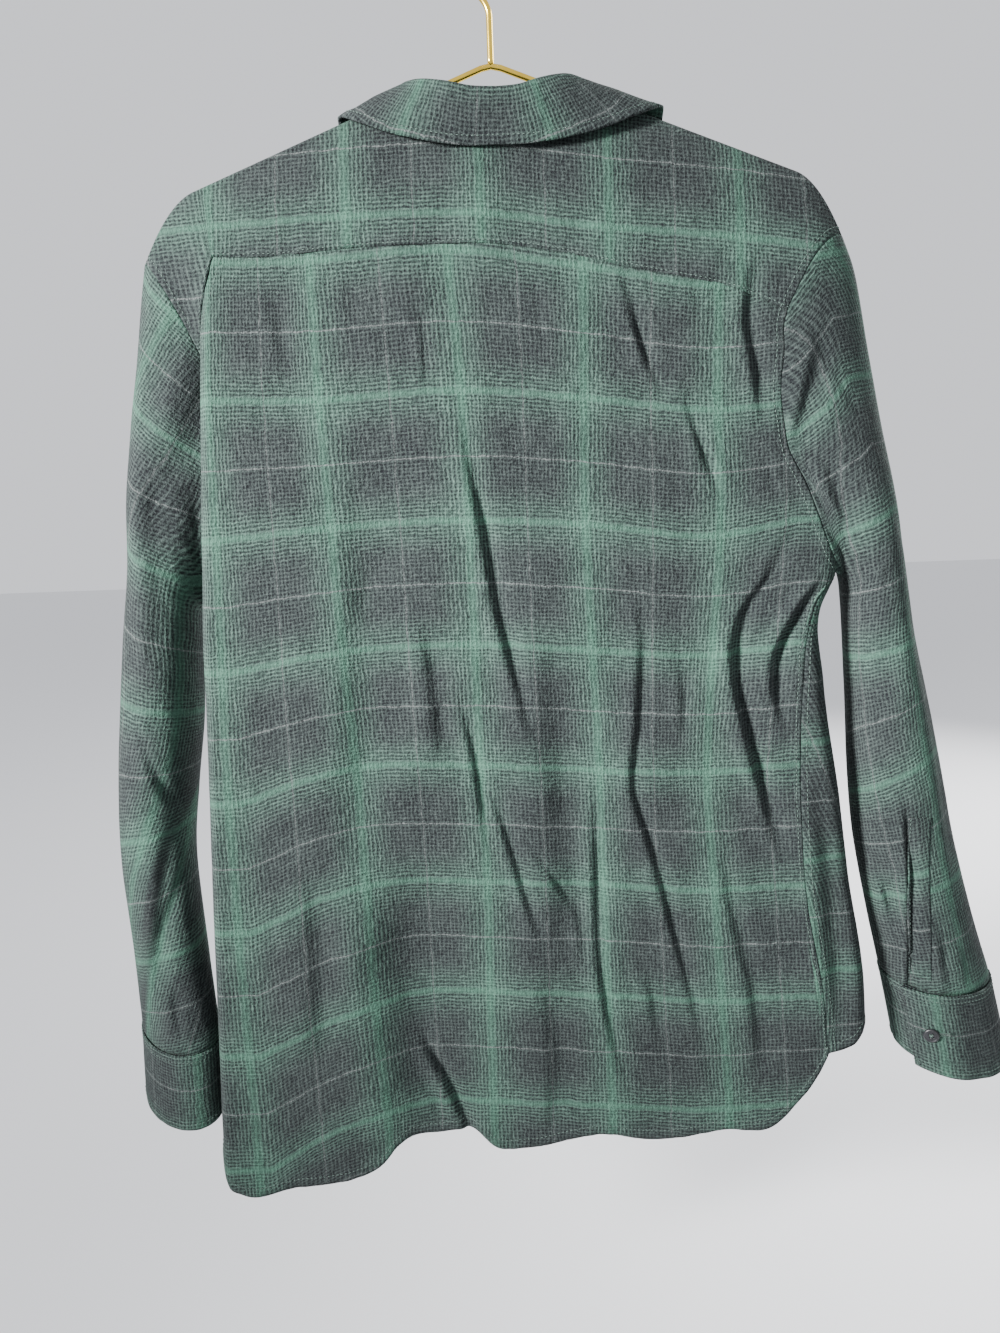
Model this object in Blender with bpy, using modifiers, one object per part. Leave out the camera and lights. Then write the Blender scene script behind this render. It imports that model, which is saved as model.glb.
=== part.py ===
# Flannel shirt hung on a wire hanger, modelled as the cloth pieces a maker would cut, the buttons and the wire.
# The back of the shirt faces -Y, +X is to the right as the back is looked at, and +Z is up.
# The origin is the inner top of the hanger's hook, where it is held.
# Shapes are worked out in millimetres as (across, toward the front, down from the hook); mesh_points turns
# them into metres with +Z up.

import math

import bpy
import numpy as np
from mathutils import Vector

# Cloth
CLOTH = 1.6             # wall of one layer of flannel
BAND = 2.2              # wall of collar and cuffs, which are sewn double
GAP = 0.3               # left between two pieces at a seam
SIDE_GAP = 0.9          # and at the long side seams
SEAM_TURN = 1.4         # gap where the cloth turns a corner at the seam

# Hanger
WIRE = 2.0              # radius of the wire
JUNCTION = 86.4         # where the arms meet below the hook's inner top
ARM_SLOPE = 0.385       # fall of an arm for each millimetre across
ARM_REACH = 206.0       # half of the hanger's width
BOTTOM_BAR = 178.0      # bottom bar below the hook's inner top
CORNER = 9.0            # bend radius at the arm's end
HOOK_BEND = 22.0        # centre line radius of the hook
HOOK_START = 58.0       # where the shaft starts to lean
HOOK_FROM, HOOK_TO = 215.0, -38.0     # angles of the bend's two ends

# Shoulders
ROLL = 4.1              # radius of the cloth over the wire
RIDE = 4.8              # cloth's middle above the wire's centre, measured upright
PEAK_ROUND = 10.0       # rounds the peak between the two slopes
TIP = 200.0             # the cloth drops more steeply beyond this
POINT_DROP = 31.0       # extra drop at the shoulder seam
SHOULDER_END_LEFT = 236.0
SHOULDER_END_RIGHT = 232.0
FALL_AWAY = 30.0        # how soon front and back part below the shoulder
YOKE_FORWARD = 22.0     # yoke's reach over to the front

# The folded edges of the body
FOLD_LEFT = 9.0         # how far the turn of the fold reaches in from the edge
TURN_LEFT = 48.0        # length of cloth in the turn
FOLD_RIGHT = 14.0
TURN_RIGHT = 54.0
CENTRE = 3.0            # centre front and centre back
UNDERARM = 425.0        # underarm below the hook
ARMHOLE_FOLD = 266.0    # where the left armhole goes behind the fold

# Body sections: down, left fold, left edge of the front above the underarm, right fold, back's and front's depth
BODY = np.array([
    (165, -192, -243, 236, 17, 15),
    (205, -197, -240, 240, 19, 17),
    (266, -203, -222, 227, 20, 18),
    (330, -208, -218, 223, 21, 20),
    (380, -212, -217, 227, 21, 20),
    (425, -215, -215, 231, 21, 21),
    (450, -217, -217, 221, 21, 22),
    (501, -219, -219, 224, 22, 23),
    (586, -223, -223, 237, 23, 24),
    (652, -226, -226, 246, 24, 25),
    (723, -229, -229, 258, 25, 26),
    (815, -233, -233, 262, 26, 27),
    (900, -236, -236, 262, 27, 28),
], float)
LEFT, LEFT_FRONT, RIGHT, BACK, FRONT = range(1, 6)

# Yoke seam on the back: across, down
YOKE_SEAM = np.array([
    (-200, 202), (-153, 204), (-102, 201), (-57, 200), (10, 202), (45, 208), (81, 217), (118, 225), (149, 232),
    (169, 239), (192, 250),
], float)

# Cut edges at the sides: how far a panel reaches round the left fold, and where the back ends on the right
BACK_WRAP = np.array([
    (202, -2), (234, 10), (266, 23), (340, 27), (395, 31), (425, 36), (450, 37), (500, 37), (900, 38),
], float)
FRONT_WRAP = np.array([
    (200, 50), (375, 50), (395, 47), (412, 41), (425, 36), (450, 37), (500, 37), (900, 38),
], float)
BACK_END = np.array([
    (236, 201), (250, 191), (277, 189), (300, 187), (324, 190), (340, 193), (361, 204), (383, 213), (407, 222),
    (425, 228), (440, 216), (465, 208), (500, 205), (560, 204), (664, 210), (731, 222), (790, 229), (900, 231),
], float)
FRONT_END = np.array([(200, 56), (370, 56), (390, 52), (405, 42), (417, 28), (425, 15.5)], float)

# Hems: distance along the cloth from the fold or the seam, down
BACK_HEM = np.array([
    (-38, 816), (-15, 857), (0, 879), (12, 885), (46, 880), (97, 872), (114, 864), (129, 846), (160, 840),
    (188, 840), (202, 852), (226, 853), (286, 843), (320, 850), (374, 843), (417, 838), (432, 821), (446, 802),
    (458, 784),
], float)
FRONT_LEFT_HEM = np.array([(0, 816), (40, 832), (90, 858), (150, 867), (260, 866)], float)
FRONT_RIGHT_HEM = np.array([(0, 784), (22, 783), (45, 795), (90, 824), (160, 854), (260, 864), (320, 866)], float)
FRONT_LENGTH = 866.0

# Creases of the back: width, depth, side on which the cloth stands up, and stations of down, across
CREASES = (
    (11, 3.5, 1, ((215, -25), (314, -24), (389, -13), (468, -3), (540, 12), (590, 20))),
    (10, 3.5, -1, ((390, 76), (432, 90), (524, 90), (576, 86), (614, 97), (676, 112), (732, 126), (830, 145))),
    (10, 3.0, -1, ((545, 58), (635, 58), (705, 59), (762, 67), (840, 90))),
    (13, 8.0, 1, ((395, 194), (435, 171), (469, 160), (505, 158), (556, 165), (609, 171), (670, 190))),
    (11, 7.0, 1, ((400, 207), (449, 192), (484, 184), (530, 188))),
    (15, 6.0, 1, ((212, 178), (261, 166), (300, 168), (350, 172))),
    (40, 5.0, -1, ((560, -70), (700, -72), (780, -66), (880, -56))),
)

# Neckline: half width from the centre, cloth distance over the shoulder line; and on the front, down
NECK = np.array([(-30, 38), (0, 45), (30, 38), (55, 23.5), (72, 9), (81, 0)], float)
NECK_FRONT = np.array([(-22, 183), (0, 187), (22, 183), (46, 170), (68, 150), (83.5, 133.5)], float)
NECK_HALF = 81.0

# Yoke's lines of cloth from the back seam to the front: number, where it starts across on the back, where it
# crosses the shoulder line, how far over it goes, and where it ends across on the front. The first six start on
# the left armhole and the middle ones end at the neckline.
YOKE_LINES = np.array([
    (0, -200, -236, -22, -229), (5, -200, -199, -22, -193), (6, -187, -190, -22, -185), (11, -98, -92, -22, -80.5),
    (12, -93, -88, -15, -79.9), (13, -89, -84.5, -9, -79.3), (14, -85, -81, -4, -78.6), (15, -81, -78, 0, -78),
    (17, -71, -68, 0, -68), (25, 77, 74, 0, 74), (27, 86, 84, 0, 84), (28, 90, 86.5, -4, 84.4),
    (29, 94, 90, -9, 85.1), (30, 98.5, 94, -15, 85.8), (31, 103, 98, -22, 86.5), (36, 170, 190, -22, 184),
    (41, 190.3, 232, -22, 224),
], float)
YOKE_ON_ARMHOLE = 6

# Collar, row by row from the centre back over the shoulder (the sixth row) round to the centre front: how far the
# neck seam is across, then its fold and its free edge, each across, forward, down
NECK_ACROSS = (0, 17, 34, 52, 68, 81, 82.3, 83.4, 71, 42, 0)
NECK_ROWS_BEHIND = 6
NECK_OVER = -6.0        # how far the seventh row is over the shoulder
COLLAR_FOLD = np.array([
    (0, -17, 108.5), (16, -17, 107.5), (32, -15, 103.5), (47, -10, 100.5), (55, -5, 101), (59, 0, 102.5),
    (61, 5, 107), (61, 11, 119), (52, 16, 138), (30, 18, 155), (1.5, 18.5, 163),
], float)
COLLAR_EDGE = np.array([
    (0, -19, 141), (20, -19, 141), (44, -18.5, 138), (68, -17, 132), (93, -11, 122), (105, -1, 115.5),
    (107, 5, 119), (104, 13, 136), (93, 20, 163), (78, 23, 190), (42, 25, 207),
], float)
COLLAR_FOLD_SPREAD = (1.02, 0.89)     # left, right
COLLAR_EDGE_SPREAD = (0.98, 1.03)
STAND = 1.8             # wall of the collar's stand

# Sleeves, from the shoulder to the cuff seam: outer edge and inner edge, each across, forward, down; half depth
# of the tube; extra length on the side that faces the back
SLEEVE_RIGHT = np.array([
    (233, 0, 202, 231, -12, 424, 14, 0),
    (243, 3, 226, 236, -8, 427, 20, 0),
    (253, 5, 272, 239, -4, 430, 26, 0),
    (262, 6, 314, 240, 0, 435, 31, 0),
    (272, 7, 364, 241, 3, 443, 34, 0),
    (282, 8, 420, 243, 5, 458, 36, 0),
    (291, 9, 470, 245, 6, 484, 37, 0),
    (304, 9, 522, 247, 6, 524, 36, 0),
    (316, 9, 574, 249, 6, 570, 35, 0),
    (327, 9, 624, 254, 6, 620, 34, 2),
    (343, 8, 682, 264, 6, 674, 31, 5),
    (360, 6, 736, 276, 6, 727, 27, 9),
], float)
SLEEVE_LEFT = np.array([
    (-237, 0, 200, -215, 16, 425, 14, 0),
    (-244, 6, 226, -220, 18, 429, 19, 0),
    (-252, 10, 266, -223, 20, 433, 23, 0),
    (-261, 13, 308, -225, 22, 438, 26, 0),
    (-268, 15, 354, -226, 23, 445, 28, 0),
    (-273, 17, 404, -227, 24, 458, 30, 0),
    (-281, 18, 452, -229, 24, 484, 31, 0),
    (-289, 19, 506, -232, 23, 522, 31, 0),
    (-297, 21, 566, -240, 21, 574, 31, 0),
    (-302, 24, 630, -245, 17, 626, 30, 2),
    (-302, 29, 700, -241, 12, 700, 28, 5),
    (-304, 35, 766, -236, 7, 768, 26, 9),
], float)
CUFF_RIGHT = np.array([(361, 6, 738, 276.5, 6, 729, 27.5, 9), (377, 5, 802, 289, 6, 788, 26, 16)], float)
CUFF_LEFT = np.array([(-304.5, 35.5, 768.5, -236.5, 7, 770.5, 26.5, 9), (-308, 38, 826, -238, 8, 829, 25, 15)], float)
SLEEVE_CREASES_RIGHT = (
    (12, 7.0, 1, ((240, 222), (279, 213), (308, 205), (347, 197), (374, 208), (405, 221), (450, 232))),
    (10, 6.0, 1, ((330, 224), (375, 236), (416, 240), (470, 243))),
)
SLEEVE_CREASES_LEFT = (
    (14, 4.0, -1, ((300, -240), (360, -245), (430, -246), (500, -252))),
    (12, 4.0, 1, ((580, -250), (640, -262), (700, -272), (740, -276))),
)

EDGE_POINTED = 1.15      # above 1 the tube's folded edges are sharper than an oval's

# Cuffs: where the inner end lies round the sleeve, and how far the outer end laps over it, in degrees
CUFF_END_LEFT = -77.0
CUFF_END_RIGHT = 98.0
CUFF_LAP = 37.0

# Trim
PLACKET_WIDTH = 34.0
PLACKET_TOP = 193.0
BUTTON_RADIUS = 5.7
BUTTON_THICK = 2.6
FRONT_BUTTONS = 7
FRONT_BUTTON_STEP = 88.0
FIRST_FRONT_BUTTON = 222.0
COLLAR_BUTTON = (3.0, 21.5, 176.0)
CUFF_BUTTON_COLUMN = 28.4


def through(table, column, at):
    """Smooth curve through one column of a table, read at values of its first column."""
    xs, ys = table[:, 0], table[:, column]
    slope = np.gradient(ys, xs)
    at = np.clip(at, xs[0], xs[-1])
    i = np.clip(np.searchsorted(xs, at) - 1, 0, len(xs) - 2)
    step = xs[i + 1] - xs[i]
    t = (at - xs[i]) / step
    return ((1 + 2 * t) * (1 - t) ** 2 * ys[i] + t * (1 - t) ** 2 * step * slope[i]
            + t ** 2 * (3 - 2 * t) * ys[i + 1] - t ** 2 * (1 - t) * step * slope[i + 1])


def stations(table, count):
    """The table's rows read again at evenly spaced steps, each column smoothly."""
    index = np.arange(len(table), dtype=float)
    numbered = np.column_stack([index, table])
    at = np.linspace(0, index[-1], count)
    return np.column_stack([through(numbered, c, at) for c in range(1, numbered.shape[1])])


def ease(t):
    t = np.clip(t, 0, 1)
    return t * t * (3 - 2 * t)


def along(points, share):
    """Points of a polyline at shares of its length."""
    step = np.linalg.norm(np.diff(points, axis=0), axis=1)
    length = np.concatenate([[0], np.cumsum(step)])
    at = share * length[-1]
    return np.column_stack([np.interp(at, length, points[:, k]) for k in range(3)])


def creased(creases, x, down):
    """How far creases move the cloth toward the front: a trough with a soft ridge on one side of it."""
    total = np.zeros_like(x)
    for width, depth, side, route in creases:
        route = np.array(route, float)
        middle = through(route, 1, down)
        ends = ease((down - route[0, 0]) / 40) * ease((route[-1, 0] - down) / 40)
        t = (x - middle) / width
        total += depth * ends * (np.exp(-t ** 2) - 0.6 * np.exp(-((t - 1.7 * side) / 1.2) ** 2))
    return total


def shoulder(x):
    """Down to the cloth's top edge: along the hanger's arm, then steeply off its end."""
    end = np.where(x < 0, SHOULDER_END_LEFT, SHOULDER_END_RIGHT)
    beyond = np.clip((np.abs(x) - TIP) / (end - TIP), 0, 1.3)
    return JUNCTION - RIDE + ARM_SLOPE * np.sqrt(x ** 2 + PEAK_ROUND ** 2) + POINT_DROP * beyond ** 2


def half_depth(x, down, face):
    below = np.maximum(down - shoulder(x) - ROLL, 0)
    return ROLL + (through(BODY, face, down) - ROLL) * (1 - np.exp(-below / FALL_AWAY))


def front_left_fold(down):
    """Above the underarm the front reaches further out than the back does."""
    return np.where(down < UNDERARM, through(BODY, LEFT_FRONT, down), through(BODY, LEFT, down))


def around(q, down, of_front=False):
    """The body's cloth at a height: q runs from the left fold across the back, round the right fold and
    along the front, and is negative where it goes round the left fold."""
    left = front_left_fold(down) if of_front else through(BODY, LEFT, down)
    right = through(BODY, RIGHT, down)
    width = right - left - FOLD_LEFT - FOLD_RIGHT
    turn_left = np.clip(-q / TURN_LEFT, 0, 1) * math.pi
    turn_right = np.clip((q - width) / TURN_RIGHT, 0, 1) * math.pi
    x = (left + FOLD_LEFT + np.clip(q, 0, width) - FOLD_LEFT * np.sin(turn_left) + FOLD_RIGHT * np.sin(turn_right)
         + np.maximum(-q - TURN_LEFT, 0) - np.maximum(q - width - TURN_RIGHT, 0))
    facing = np.cos(turn_left + turn_right)
    depth = np.where(facing > 0, half_depth(x, down, BACK), half_depth(x, down, FRONT))
    y = -depth * facing + creased(CREASES, x, down) * np.clip(facing, 0, 1) ** 2
    return np.stack([x, y, down], -1)


def back_width(down):
    return through(BODY, RIGHT, down) - through(BODY, LEFT, down) - FOLD_LEFT - FOLD_RIGHT


def back_end(down):
    """q of the back's right edge, from its place across."""
    right = through(BODY, RIGHT, down)
    x = through(BACK_END, 1, down)
    into_fold = np.clip((x - right + FOLD_RIGHT) / FOLD_RIGHT, 0, 0.98)
    on_face = np.minimum(x, right - FOLD_RIGHT) - through(BODY, LEFT, down) - FOLD_LEFT
    return on_face + TURN_RIGHT * np.arcsin(into_fold) / math.pi


def over(x, d):
    """The cloth over the shoulder line: d runs down the back where positive, down the front where negative."""
    quarter = ROLL * math.pi / 2
    turn = np.clip(d, -quarter, quarter) / ROLL
    beyond = np.maximum(np.abs(d) - quarter, 0)
    down = shoulder(x) + ROLL * (1 - np.cos(turn)) + beyond
    back = half_depth(x, down, BACK) - creased(CREASES, x, down)
    y = np.where(d > quarter, -back, np.where(d < -quarter, half_depth(x, down, FRONT), -ROLL * np.sin(turn)))
    return np.stack([x, y, down], -1)


def over_distance(x, down):
    return down - shoulder(x) - ROLL + ROLL * math.pi / 2


# ---- turning grids of points into solids ----

def mesh_points(points):
    return np.stack([points[..., 0], points[..., 1], -points[..., 2]], -1) * 0.001


def material(name, colour, roughness, metallic=0.0):
    mat = bpy.data.materials.new(name)
    mat.use_nodes = True
    shader = mat.node_tree.nodes["Principled BSDF"]
    shader.inputs["Base Color"].default_value = (*colour, 1.0)
    shader.inputs["Roughness"].default_value = roughness
    shader.inputs["Metallic"].default_value = metallic
    return mat


def place(obj, mat):
    obj.data.materials.append(mat)
    parts.objects.link(obj)
    return obj


def cloth(name, grid, thickness, mat, ring=False):
    """A wall of cloth on a grid of points, rows by columns; a ring joins its last column to its first."""
    rows, columns = grid.shape[:2]
    verts = mesh_points(grid).reshape(-1, 3)
    steps = columns if ring else columns - 1
    faces = []
    for r in range(rows - 1):
        for c in range(steps):
            d = (c + 1) % columns
            faces.append((r * columns + c, (r + 1) * columns + c, (r + 1) * columns + d, r * columns + d))
    mesh = bpy.data.meshes.new(name)
    mesh.from_pydata(verts.tolist(), [], faces)
    mesh.shade_smooth()
    obj = place(bpy.data.objects.new(name, mesh), mat)
    wall = obj.modifiers.new("wall", "SOLIDIFY")
    wall.thickness = thickness * 0.001
    wall.offset = 0.0
    return obj


def tube(name, points, radius, mat, cyclic=False):
    curve = bpy.data.curves.new(name, "CURVE")
    curve.dimensions = "3D"
    curve.bevel_depth = radius * 0.001
    curve.bevel_resolution = 2
    curve.use_fill_caps = not cyclic
    spline = curve.splines.new("POLY")
    spline.points.add(len(points) - 1)
    for point, co in zip(spline.points, mesh_points(np.asarray(points, float))):
        point.co = (*co, 1.0)
    spline.use_cyclic_u = cyclic
    return place(bpy.data.objects.new(name, curve), mat)


def button(name, centre, facing, mat):
    """A turned disc with a raised rim; it lies on the cloth at centre, its face toward facing."""
    radius, thick = BUTTON_RADIUS * 0.001, BUTTON_THICK * 0.001
    outline = [(0, 0), (0.9, 0), (1, 0.3), (1, 0.8), (0.85, 1), (0.7, 0.75), (0, 0.75)]
    mesh = bpy.data.meshes.new(name)
    verts = [(a * radius, 0, b * thick) for a, b in outline]
    mesh.from_pydata(verts, [(i + 1, i) for i in range(len(verts) - 1)], [])
    obj = place(bpy.data.objects.new(name, mesh), mat)
    screw = obj.modifiers.new("turned", "SCREW")
    screw.steps = screw.render_steps = 12
    screw.use_merge_vertices = True
    screw.merge_threshold = 0.00001
    screw.use_normal_calculate = True
    obj.rotation_mode = "QUATERNION"
    toward = mesh_points(np.asarray(facing, float)) * 1000
    obj.rotation_quaternion = Vector(toward).to_track_quat("Z", "Y")
    obj.location = mesh_points(np.asarray(centre, float))
    return obj


# ---- the pieces ----

def back_grid(columns, rows):
    u = np.interp(np.linspace(0, 1, columns), (0, 0.13, 0.45, 1), (0, 0.09, 0.58, 1))[None, :]
    v = np.interp(np.linspace(0, 1, rows), (0, 0.3, 0.55, 1), (0, 0.28, 0.42, 1))[:, None]

    def q_at(down):
        start = -through(BACK_WRAP, 1, down)
        return start + (back_end(down) - start) * u

    def x_at(down):
        return around(q_at(down), down)[..., 0]

    top = np.full_like(u, 215.0)
    hem = np.full_like(u, 850.0)
    for _ in range(12):
        top = through(YOKE_SEAM, 1, x_at(top))
        hem = 0.5 * hem + 0.5 * through(BACK_HEM, 1, q_at(hem))
    down = top + (hem - top) * v
    return around(q_at(down), down)


def yoke_grid():
    """Lines of cloth run from the seam on the back up to the neck, or over the shoulder to the front seam."""
    number = np.arange(YOKE_LINES[-1, 0] + 1)
    across, ridge, end, front = (np.interp(number, YOKE_LINES[:, 0], YOKE_LINES[:, k]) for k in range(1, 5))
    off_centre = np.abs(ridge - CENTRE)
    end = np.where(off_centre <= NECK_HALF, through(NECK, 1, off_centre), end)

    tuck_down = np.linspace(ARMHOLE_FOLD, 206, YOKE_ON_ARMHOLE)
    tuck = around(-through(BACK_WRAP, 1, tuck_down) - np.linspace(SEAM_TURN, 0.9, YOKE_ON_ARMHOLE), tuck_down)
    across = across[YOKE_ON_ARMHOLE:]
    seam = np.stack([across, across * 0, through(YOKE_SEAM, 1, across) - GAP * 1.7], -1)
    seam[:, 1] = over(across, over_distance(across, seam[:, 2]))[:, 1]
    bottom = np.concatenate([tuck, seam])

    start = over_distance(bottom[:, 0], bottom[:, 2])
    near_ridge = 7 + 1.3 * np.maximum(end + 1, 0)
    breaks = np.stack([start, near_ridge, (near_ridge + end) / 2, end])
    rows = np.concatenate([np.linspace(0, 1, 7), np.linspace(1, 2, 6)[1:], np.linspace(2, 3, 3)[1:]])
    distance = np.stack([[np.interp(r, range(4), breaks[:, c]) for c in range(len(start))] for r in rows])
    up = np.clip((start - distance) / (start - np.maximum(end, 0)), 0, 1)
    down_front = np.clip(distance / np.minimum(end, -1), 0, 1)
    x = bottom[:, 0] + (ridge - bottom[:, 0]) * up + (front - ridge) * down_front
    grid = over(x, distance)
    grid[..., 1:] += (bottom - grid[0])[None, :, 1:] * ((1 - up) ** 1.5)[..., None]
    return grid


def front_grid(side, columns, rows):
    """A front panel from its side edge (first column) to the centre front; side is -1 left or 1 right."""
    u = np.interp(np.linspace(0, 1, columns), (0, 0.45, 1), (0, 0.22, 1))[None, :]
    v = np.interp(np.linspace(0, 1, rows), (0, 0.22, 0.62, 1), (0, 0.29, 0.46, 1))[:, None]

    def q_at(down):
        under_sleeve = np.exp(-((down - UNDERARM - 15) / 22) ** 2)
        gap = SIDE_GAP + 1.5 * under_sleeve
        if side < 0:
            start = -through(FRONT_WRAP, 1, down) - gap
            left = front_left_fold(down)
            stop = -(TURN_LEFT + CENTRE - GAP - left - FOLD_LEFT)
        else:
            width = back_width(down)
            start = np.where(down < UNDERARM, width + through(FRONT_END, 1, down), back_end(down)) + gap
            stop = width + TURN_RIGHT + through(BODY, RIGHT, down) - FOLD_RIGHT - CENTRE - GAP
        return start + (stop - start) * u

    def point(down):
        if side < 0:
            return around(q_at(down), down, of_front=True)
        return around(q_at(down), down)

    def top_edge(x):
        off_centre = np.abs(x - CENTRE)
        yoke_end = shoulder(x) + ROLL + YOKE_FORWARD - ROLL * math.pi / 2
        seam = yoke_end + GAP * 2 + SEAM_TURN * ease((off_centre - 190) / 25)
        return np.where(off_centre < NECK_HALF + 2, through(NECK_FRONT, 1, off_centre) + GAP * 4, seam)

    hem_table = FRONT_LEFT_HEM if side < 0 else FRONT_RIGHT_HEM
    top = np.full_like(u, 190.0)
    hem = np.full_like(u, 850.0)
    for _ in range(12):
        top = 0.5 * top + 0.5 * top_edge(point(top)[..., 0])
        q = q_at(hem)
        hem = 0.5 * hem + 0.5 * through(hem_table, 1, np.abs(q - q[:, :1]))
    return point(top + (hem - top) * v)


def neck_ring(side, count):
    """The neck seam from the centre back to the centre front, on one side."""
    off_centre = np.array(NECK_ACROSS, float)
    behind, front = off_centre[:NECK_ROWS_BEHIND], off_centre[NECK_ROWS_BEHIND + 1:]
    front_x = CENTRE + side * front
    distance = np.concatenate([through(NECK, 1, behind), [NECK_OVER],
                               -over_distance(front_x, through(NECK_FRONT, 1, front))])
    return stations(over(CENTRE + side * off_centre, distance), count)


def whole_ring(left, right, apart):
    """Two sides, each from the centre back to the centre front, joined at the back."""
    left[-1, 0] -= apart
    right[-1, 0] += apart
    return np.concatenate([left[::-1], right[1:]])


def table_ring(table, spread, count, apart):
    sides = []
    for side, wide in zip((-1, 1), spread):
        half = stations(table, count)
        half[:, 0] = CENTRE + side * wide * half[:, 0]
        sides.append(half)
    return whole_ring(sides[0], sides[1], apart)


def collar_grids():
    count, apart, turn, bulge = 21, 0.4, 2.3, 1.5
    seam = whole_ring(neck_ring(-1, count), neck_ring(1, count), apart)
    fold = table_ring(COLLAR_FOLD, COLLAR_FOLD_SPREAD, count, apart)
    edge = table_ring(COLLAR_EDGE, COLLAR_EDGE_SPREAD, count, apart)
    rise = (fold - seam) / np.linalg.norm(fold - seam, axis=1)[:, None]
    start = seam + rise * (GAP + (CLOTH + STAND) * 0.4)
    start[:, 2] -= 1.2 * np.exp(-(start[:, 1] / 4) ** 2)
    stop = fold - rise * (BAND * 0.5 + GAP + 1.6)
    stand = np.stack([start + (stop - start) * t for t in np.linspace(0, 1, 4)])

    out = np.cross(np.gradient(fold, axis=0), rise)
    out /= np.linalg.norm(out, axis=1)[:, None]
    from_middle = (fold - np.array([CENTRE, 4.0, 0.0])) * np.array([1, 1, 0])
    out *= np.sign(np.sum(out * from_middle, axis=1))[:, None]
    over_top = [fold + out * (turn - turn * math.cos(a)) + rise * (turn * math.sin(a) - 0.9)
                for a in np.radians([10, 70, 140])]
    falls = [over_top[-1] + (edge - over_top[-1]) * t + out * bulge * math.sin(math.pi * t)
             for t in (0.25, 0.5, 0.75, 1)]
    return stand, np.stack(over_top + falls)


def tube_ring(row, angles):
    """One ring of a sleeve: 0 is its outer edge, a quarter turn its back, a half turn its inner edge."""
    outer, inner, half, longer = row[0:3], row[3:6], row[6], row[7]
    c, s = np.cos(angles), np.sin(angles)
    s = np.sign(s) * np.abs(s) ** EDGE_POINTED
    ring = (outer + inner) / 2 + (outer - inner) / 2 * c[:, None]
    ring[:, 1] -= half * s
    ring[:, 2] += longer * np.clip(s, 0, 1)
    return ring


def sleeve_grid(table, armhole_back, armhole_front, creases, away, columns, rows):
    """Rings from the armhole to the cuff seam. The first is the armhole itself, moved out by the seam's gap."""
    half = columns // 2
    share = np.linspace(0, 1, half + 1)
    share = share + 0.07 * np.sin(math.pi * share)
    share = share / share[-1]
    angles = math.pi * np.concatenate([share[:-1], 2 - share[:0:-1]])
    armhole = np.concatenate([along(armhole_back, share)[:-1], along(armhole_front, share)[:0:-1]])
    tangent = np.roll(armhole, -1, axis=0) - np.roll(armhole, 1, axis=0)
    tangent /= np.linalg.norm(tangent, axis=1)[:, None]
    behind = np.clip(np.sin(angles), 0, 1)[:, None]
    out = np.array(away[0]) * behind + np.array(away[1]) * (1 - behind)
    low = np.clip(-np.cos(angles), 0, 1)
    out[:, 0] *= 1 + low
    out[:, 2] += 0.8 * np.cos(angles) - low
    out = out - tangent * np.sum(out * tangent, axis=1)[:, None]
    grid = np.stack([tube_ring(row, angles) for row in stations(table, rows)])
    fade = 1 - ease(np.linspace(0, 1, rows) * 2.6)
    grid += (armhole + out - grid[0])[None] * fade[:, None, None]
    facing = np.clip(np.sin(angles), 0, 1)[None, :]
    settle = ease(np.linspace(0, 1, rows) * 8)[:, None]
    grid[..., 1] += creased(creases, grid[..., 0], grid[..., 2]) * facing * settle
    return grid


def cuff_grid(table, start_angle, lap, columns):
    """A band that laps over itself: its outer end lies on its inner end."""
    turn = np.linspace(0, 2 * math.pi + lap, columns)
    angles = start_angle + turn
    rings = []
    for row in stations(table, 4):
        ring = tube_ring(row, angles)
        centre = (row[0:3] + row[3:6]) / 2
        out = ring - centre
        out[:, 2] = 0
        out /= np.linalg.norm(out, axis=1)[:, None]
        rings.append(ring + out * ((BAND + GAP * 3) * ease((turn - 2 * math.pi + 0.5) / 0.45))[:, None])
    return np.stack(rings)


def on_surface(grid, row, column, ring=True):
    """Points of a grid read between its rows and columns, and the way out of the tube there."""
    if ring:
        grid = np.concatenate([grid[:, -4:], grid, grid[:, :4]], axis=1)
        column = column + 4
    normal = np.cross(np.gradient(grid, axis=0), np.gradient(grid, axis=1))
    normal /= np.linalg.norm(normal, axis=-1, keepdims=True)
    middle = grid.mean(axis=1, keepdims=True)
    normal *= np.sign(np.sum(normal * (grid - middle), axis=-1, keepdims=True))
    r0 = np.clip(np.floor(row).astype(int), 0, grid.shape[0] - 2)
    c0 = np.clip(np.floor(column).astype(int), 0, grid.shape[1] - 2)
    fr, fc = (row - r0)[..., None], (column - c0)[..., None]

    def read(values):
        return ((values[r0, c0] * (1 - fc) + values[r0, c0 + 1] * fc) * (1 - fr)
                + (values[r0 + 1, c0] * (1 - fc) + values[r0 + 1, c0 + 1] * fc) * fr)

    return read(grid), read(normal)


def sleeve_placket(grid, first_row, edge_columns, columns_wide, rows):
    """A strip beside the sleeve's slit, laid on the sleeve from its top down to the cuff."""
    v = np.linspace(0, 1, rows)[:, None]
    row = first_row + (grid.shape[0] - 1.05 - first_row) * v + np.zeros((1, 4))
    column = edge_columns[0] + (edge_columns[1] - edge_columns[0]) * v - np.linspace(0, columns_wide, 4)[None, :]
    point, normal = on_surface(grid, row, column)
    return point + normal * (CLOTH + GAP + 0.7)


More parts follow.
